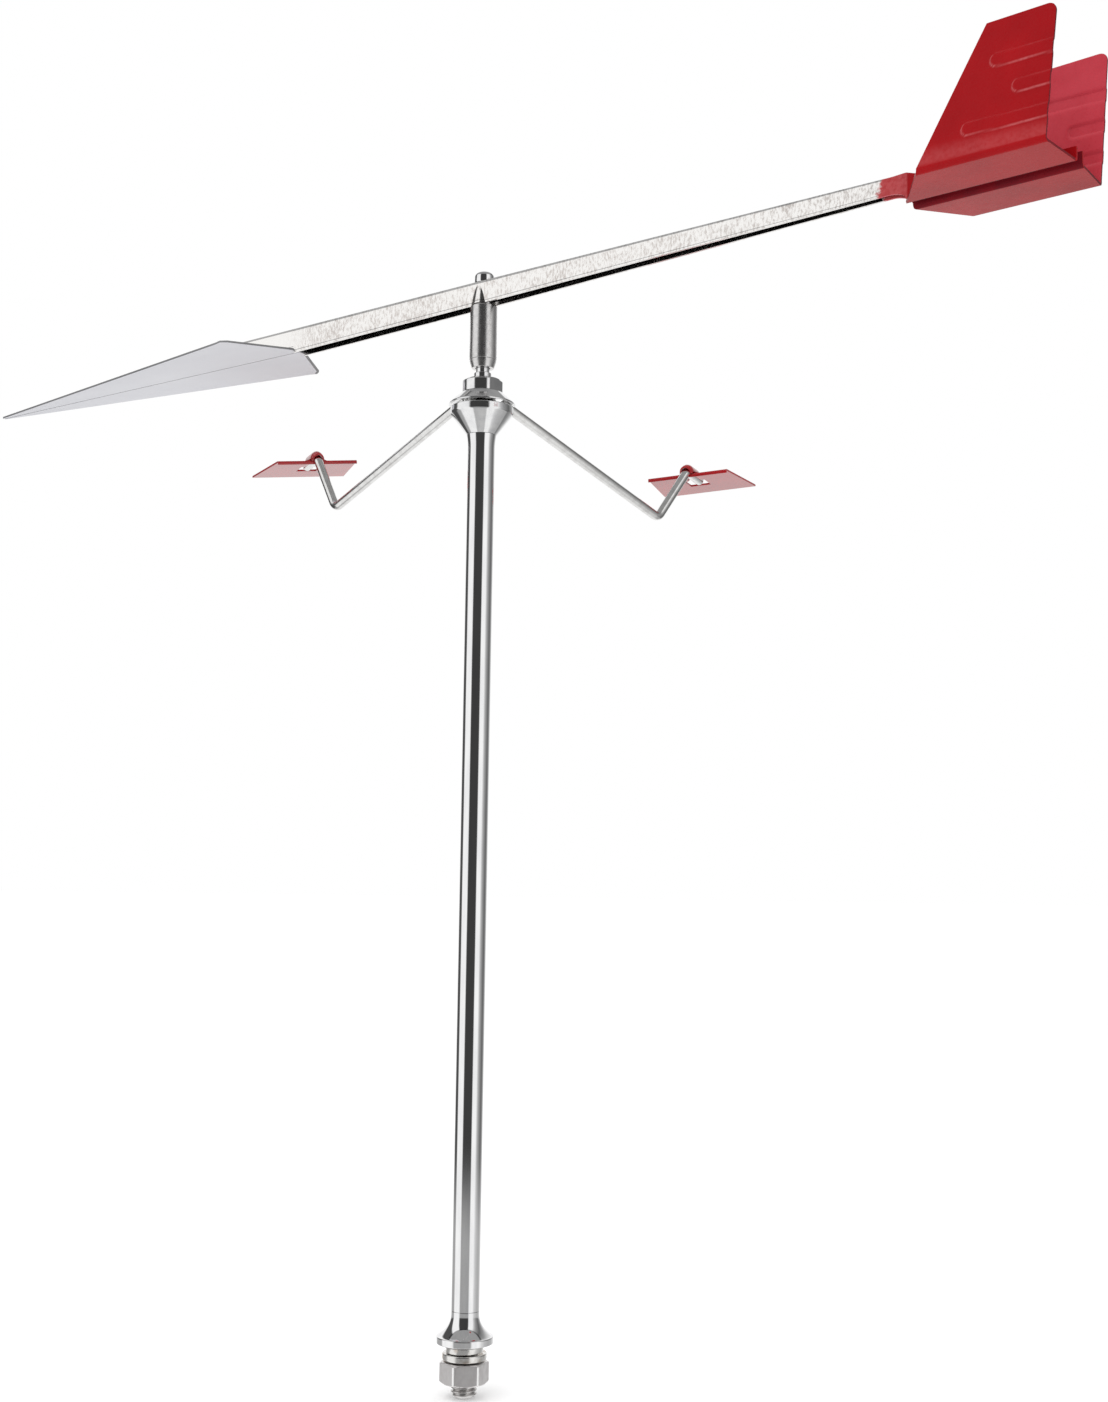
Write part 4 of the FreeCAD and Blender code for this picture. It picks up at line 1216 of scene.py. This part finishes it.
def build_floor(level):
    """Wide pale floor that reflections don't see."""
    mesh = bmesh.new()
    rings = []
    for radius in (0.0, 0.5, 1.5, 4.0, 10.0, 30.0):
        ring = []
        for i in range(64):
            ring.append(mesh.verts.new(around(radius, 2 * math.pi * i / 64, level)))
        rings.append(ring)
    grid_faces(mesh, rings, closed_columns=True)
    bmesh.ops.remove_doubles(mesh, verts=mesh.verts, dist=1e-6)
    bmesh.ops.recalc_face_normals(mesh, faces=mesh.faces)
    material, tree, shader = new_material("studio_floor")
    cloud = noise(tree, (1.5, 1.5, 1.5), 2.0)
    color = blend_color(tree, cloud, (0.95, 0.95, 0.95), (0.93, 0.93, 0.93))
    tree.links.new(color, shader.inputs["Base Color"])
    shader.inputs["Emission Color"].default_value = (1.0, 1.0, 1.0, 1.0)
    shader.inputs["Emission Strength"].default_value = 0.08
    shader.inputs["Roughness"].default_value = 0.9
    shader.inputs["Specular IOR Level"].default_value = 0.0
    floor = stage_piece("studio_floor", mesh, material)
    floor.visible_glossy = False


def card_level(azimuth, z):
    """Brightness of the ring as reflections see it: cards, shaded above and below them."""
    level = along(STUDIO_CARDS, azimuth)
    if z > SHADE_FOOT:
        return level * lerp(1.0, LID_GLOW, min(1.0, (z - SHADE_FOOT) / (SHADE_TOP - SHADE_FOOT)))
    if z <= CARD_BOTTOM:
        return FLOOR_GLOW
    return lerp(level, lerp(LOW_GLOW, 1.0, level), smooth((CARD_FOOT - z) / CARD_FADE))


def build_cards():
    """Ring of white cards and black flags, shaded towards a grey lid, over a grey table.

    Only reflections see it.
    """
    mesh = bmesh.new()
    rows = []
    count = 180
    heights = [SHADE_TOP, SHADE_FOOT, CARD_FOOT]
    heights += [CARD_FOOT - CARD_FADE * i / 6 for i in range(1, 7)] + [CARD_BOTTOM]
    for i in range(count):
        azimuth = math.radians(-180 + 360 * i / count)
        x, y = CARD_RADIUS * math.sin(azimuth), -CARD_RADIUS * math.cos(azimuth)
        row = [mesh.verts.new((x * share, y * share, CARD_TOP)) for share in (0.02, 1.0)]
        row += [mesh.verts.new((x, y, z)) for z in heights]
        row.append(mesh.verts.new((0, 0, CARD_BOTTOM)))
        rows.append(row)
    grid_faces(mesh, rows, closed_rows=True)
    layer = mesh.loops.layers.float_color.new("card")
    for face in mesh.faces:
        is_lid = all(vertex.co.z >= CARD_TOP - 0.001 for vertex in face.verts)
        for loop in face.loops:
            azimuth = math.degrees(math.atan2(loop.vert.co.x, -loop.vert.co.y))
            value = LID_GLOW if is_lid else card_level(azimuth, loop.vert.co.z)
            loop[layer] = (value, value, value, 1.0)
    material, tree, shader = new_material("studio_cards")
    tree.nodes.remove(shader)
    tone = add(tree, "ShaderNodeAttribute", {}, attribute_name="card")
    glow = add(tree, "ShaderNodeEmission", {"Color": tone.outputs["Color"], "Strength": 1.0})
    tree.links.new(glow.outputs["Emission"], tree.nodes["Material Output"].inputs["Surface"])
    cards = stage_piece("studio_cards", mesh, material)
    for rays in ("camera", "diffuse", "transmission", "volume_scatter", "shadow"):
        setattr(cards, "visible_" + rays, False)


def build_world():
    world = bpy.data.worlds.new("studio")
    bpy.context.scene.world = world
    world.use_nodes = True
    background = world.node_tree.nodes["Background"]
    background.inputs["Color"].default_value = (1.0, 1.0, 1.0, 1.0)
    background.inputs["Strength"].default_value = 1.0


def build_light(name, place, target, size, power):
    data = bpy.data.lights.new(name, "AREA")
    data.shape = "RECTANGLE"
    data.size, data.size_y = size
    data.energy = power
    light = link_object(name, data)
    light.location = place
    light.rotation_euler = (Vector(target) - Vector(place)).to_track_quat("-Z", "Y").to_euler()
    light.visible_glossy = False


CAMERA_PLACE = (0.0, -0.7354, 0.1755)
CAMERA_TURN = (-2.408, 95.721, 0.828)


def build_camera():
    data = bpy.data.cameras.new("camera")
    data.lens = 47.5
    data.sensor_width = 36.0
    data.clip_start, data.clip_end = 0.01, 100.0
    camera = link_object("camera", data)
    yaw, pitch, roll = (math.radians(a) for a in CAMERA_TURN)
    turn = Matrix.Rotation(yaw, 4, "Z") @ Matrix.Rotation(pitch, 4, "X") @ Matrix.Rotation(roll, 4, "Z")
    camera.matrix_world = Matrix.Translation(CAMERA_PLACE) @ turn
    bpy.context.scene.camera = camera


build_pole()
build_foot()
build_stud()
build_nut()
build_flat_washer()
build_spring_washer()
build_cone()
build_dome()
build_spindle()
build_barrel()
build_retainer()
build_cap_screw()
build_vane_half("vane_half_near", 1)
build_vane_half("vane_half_far", -1)
for arm_side, arm_shape in ARMS.items():
    build_arm(arm_side, arm_shape)
    build_tab(arm_side, arm_shape)
dress_frame_parts()

floor_level = cad_box[0].z - 0.0005
build_floor(floor_level)
build_cards()
build_world()
build_light("top_soft_box", (-0.5, -0.6, 1.5), (0, 0, 0.3), (1.2, 1.2), 6.0)
build_camera()
bpy.context.scene.view_settings.view_transform = "Standard"
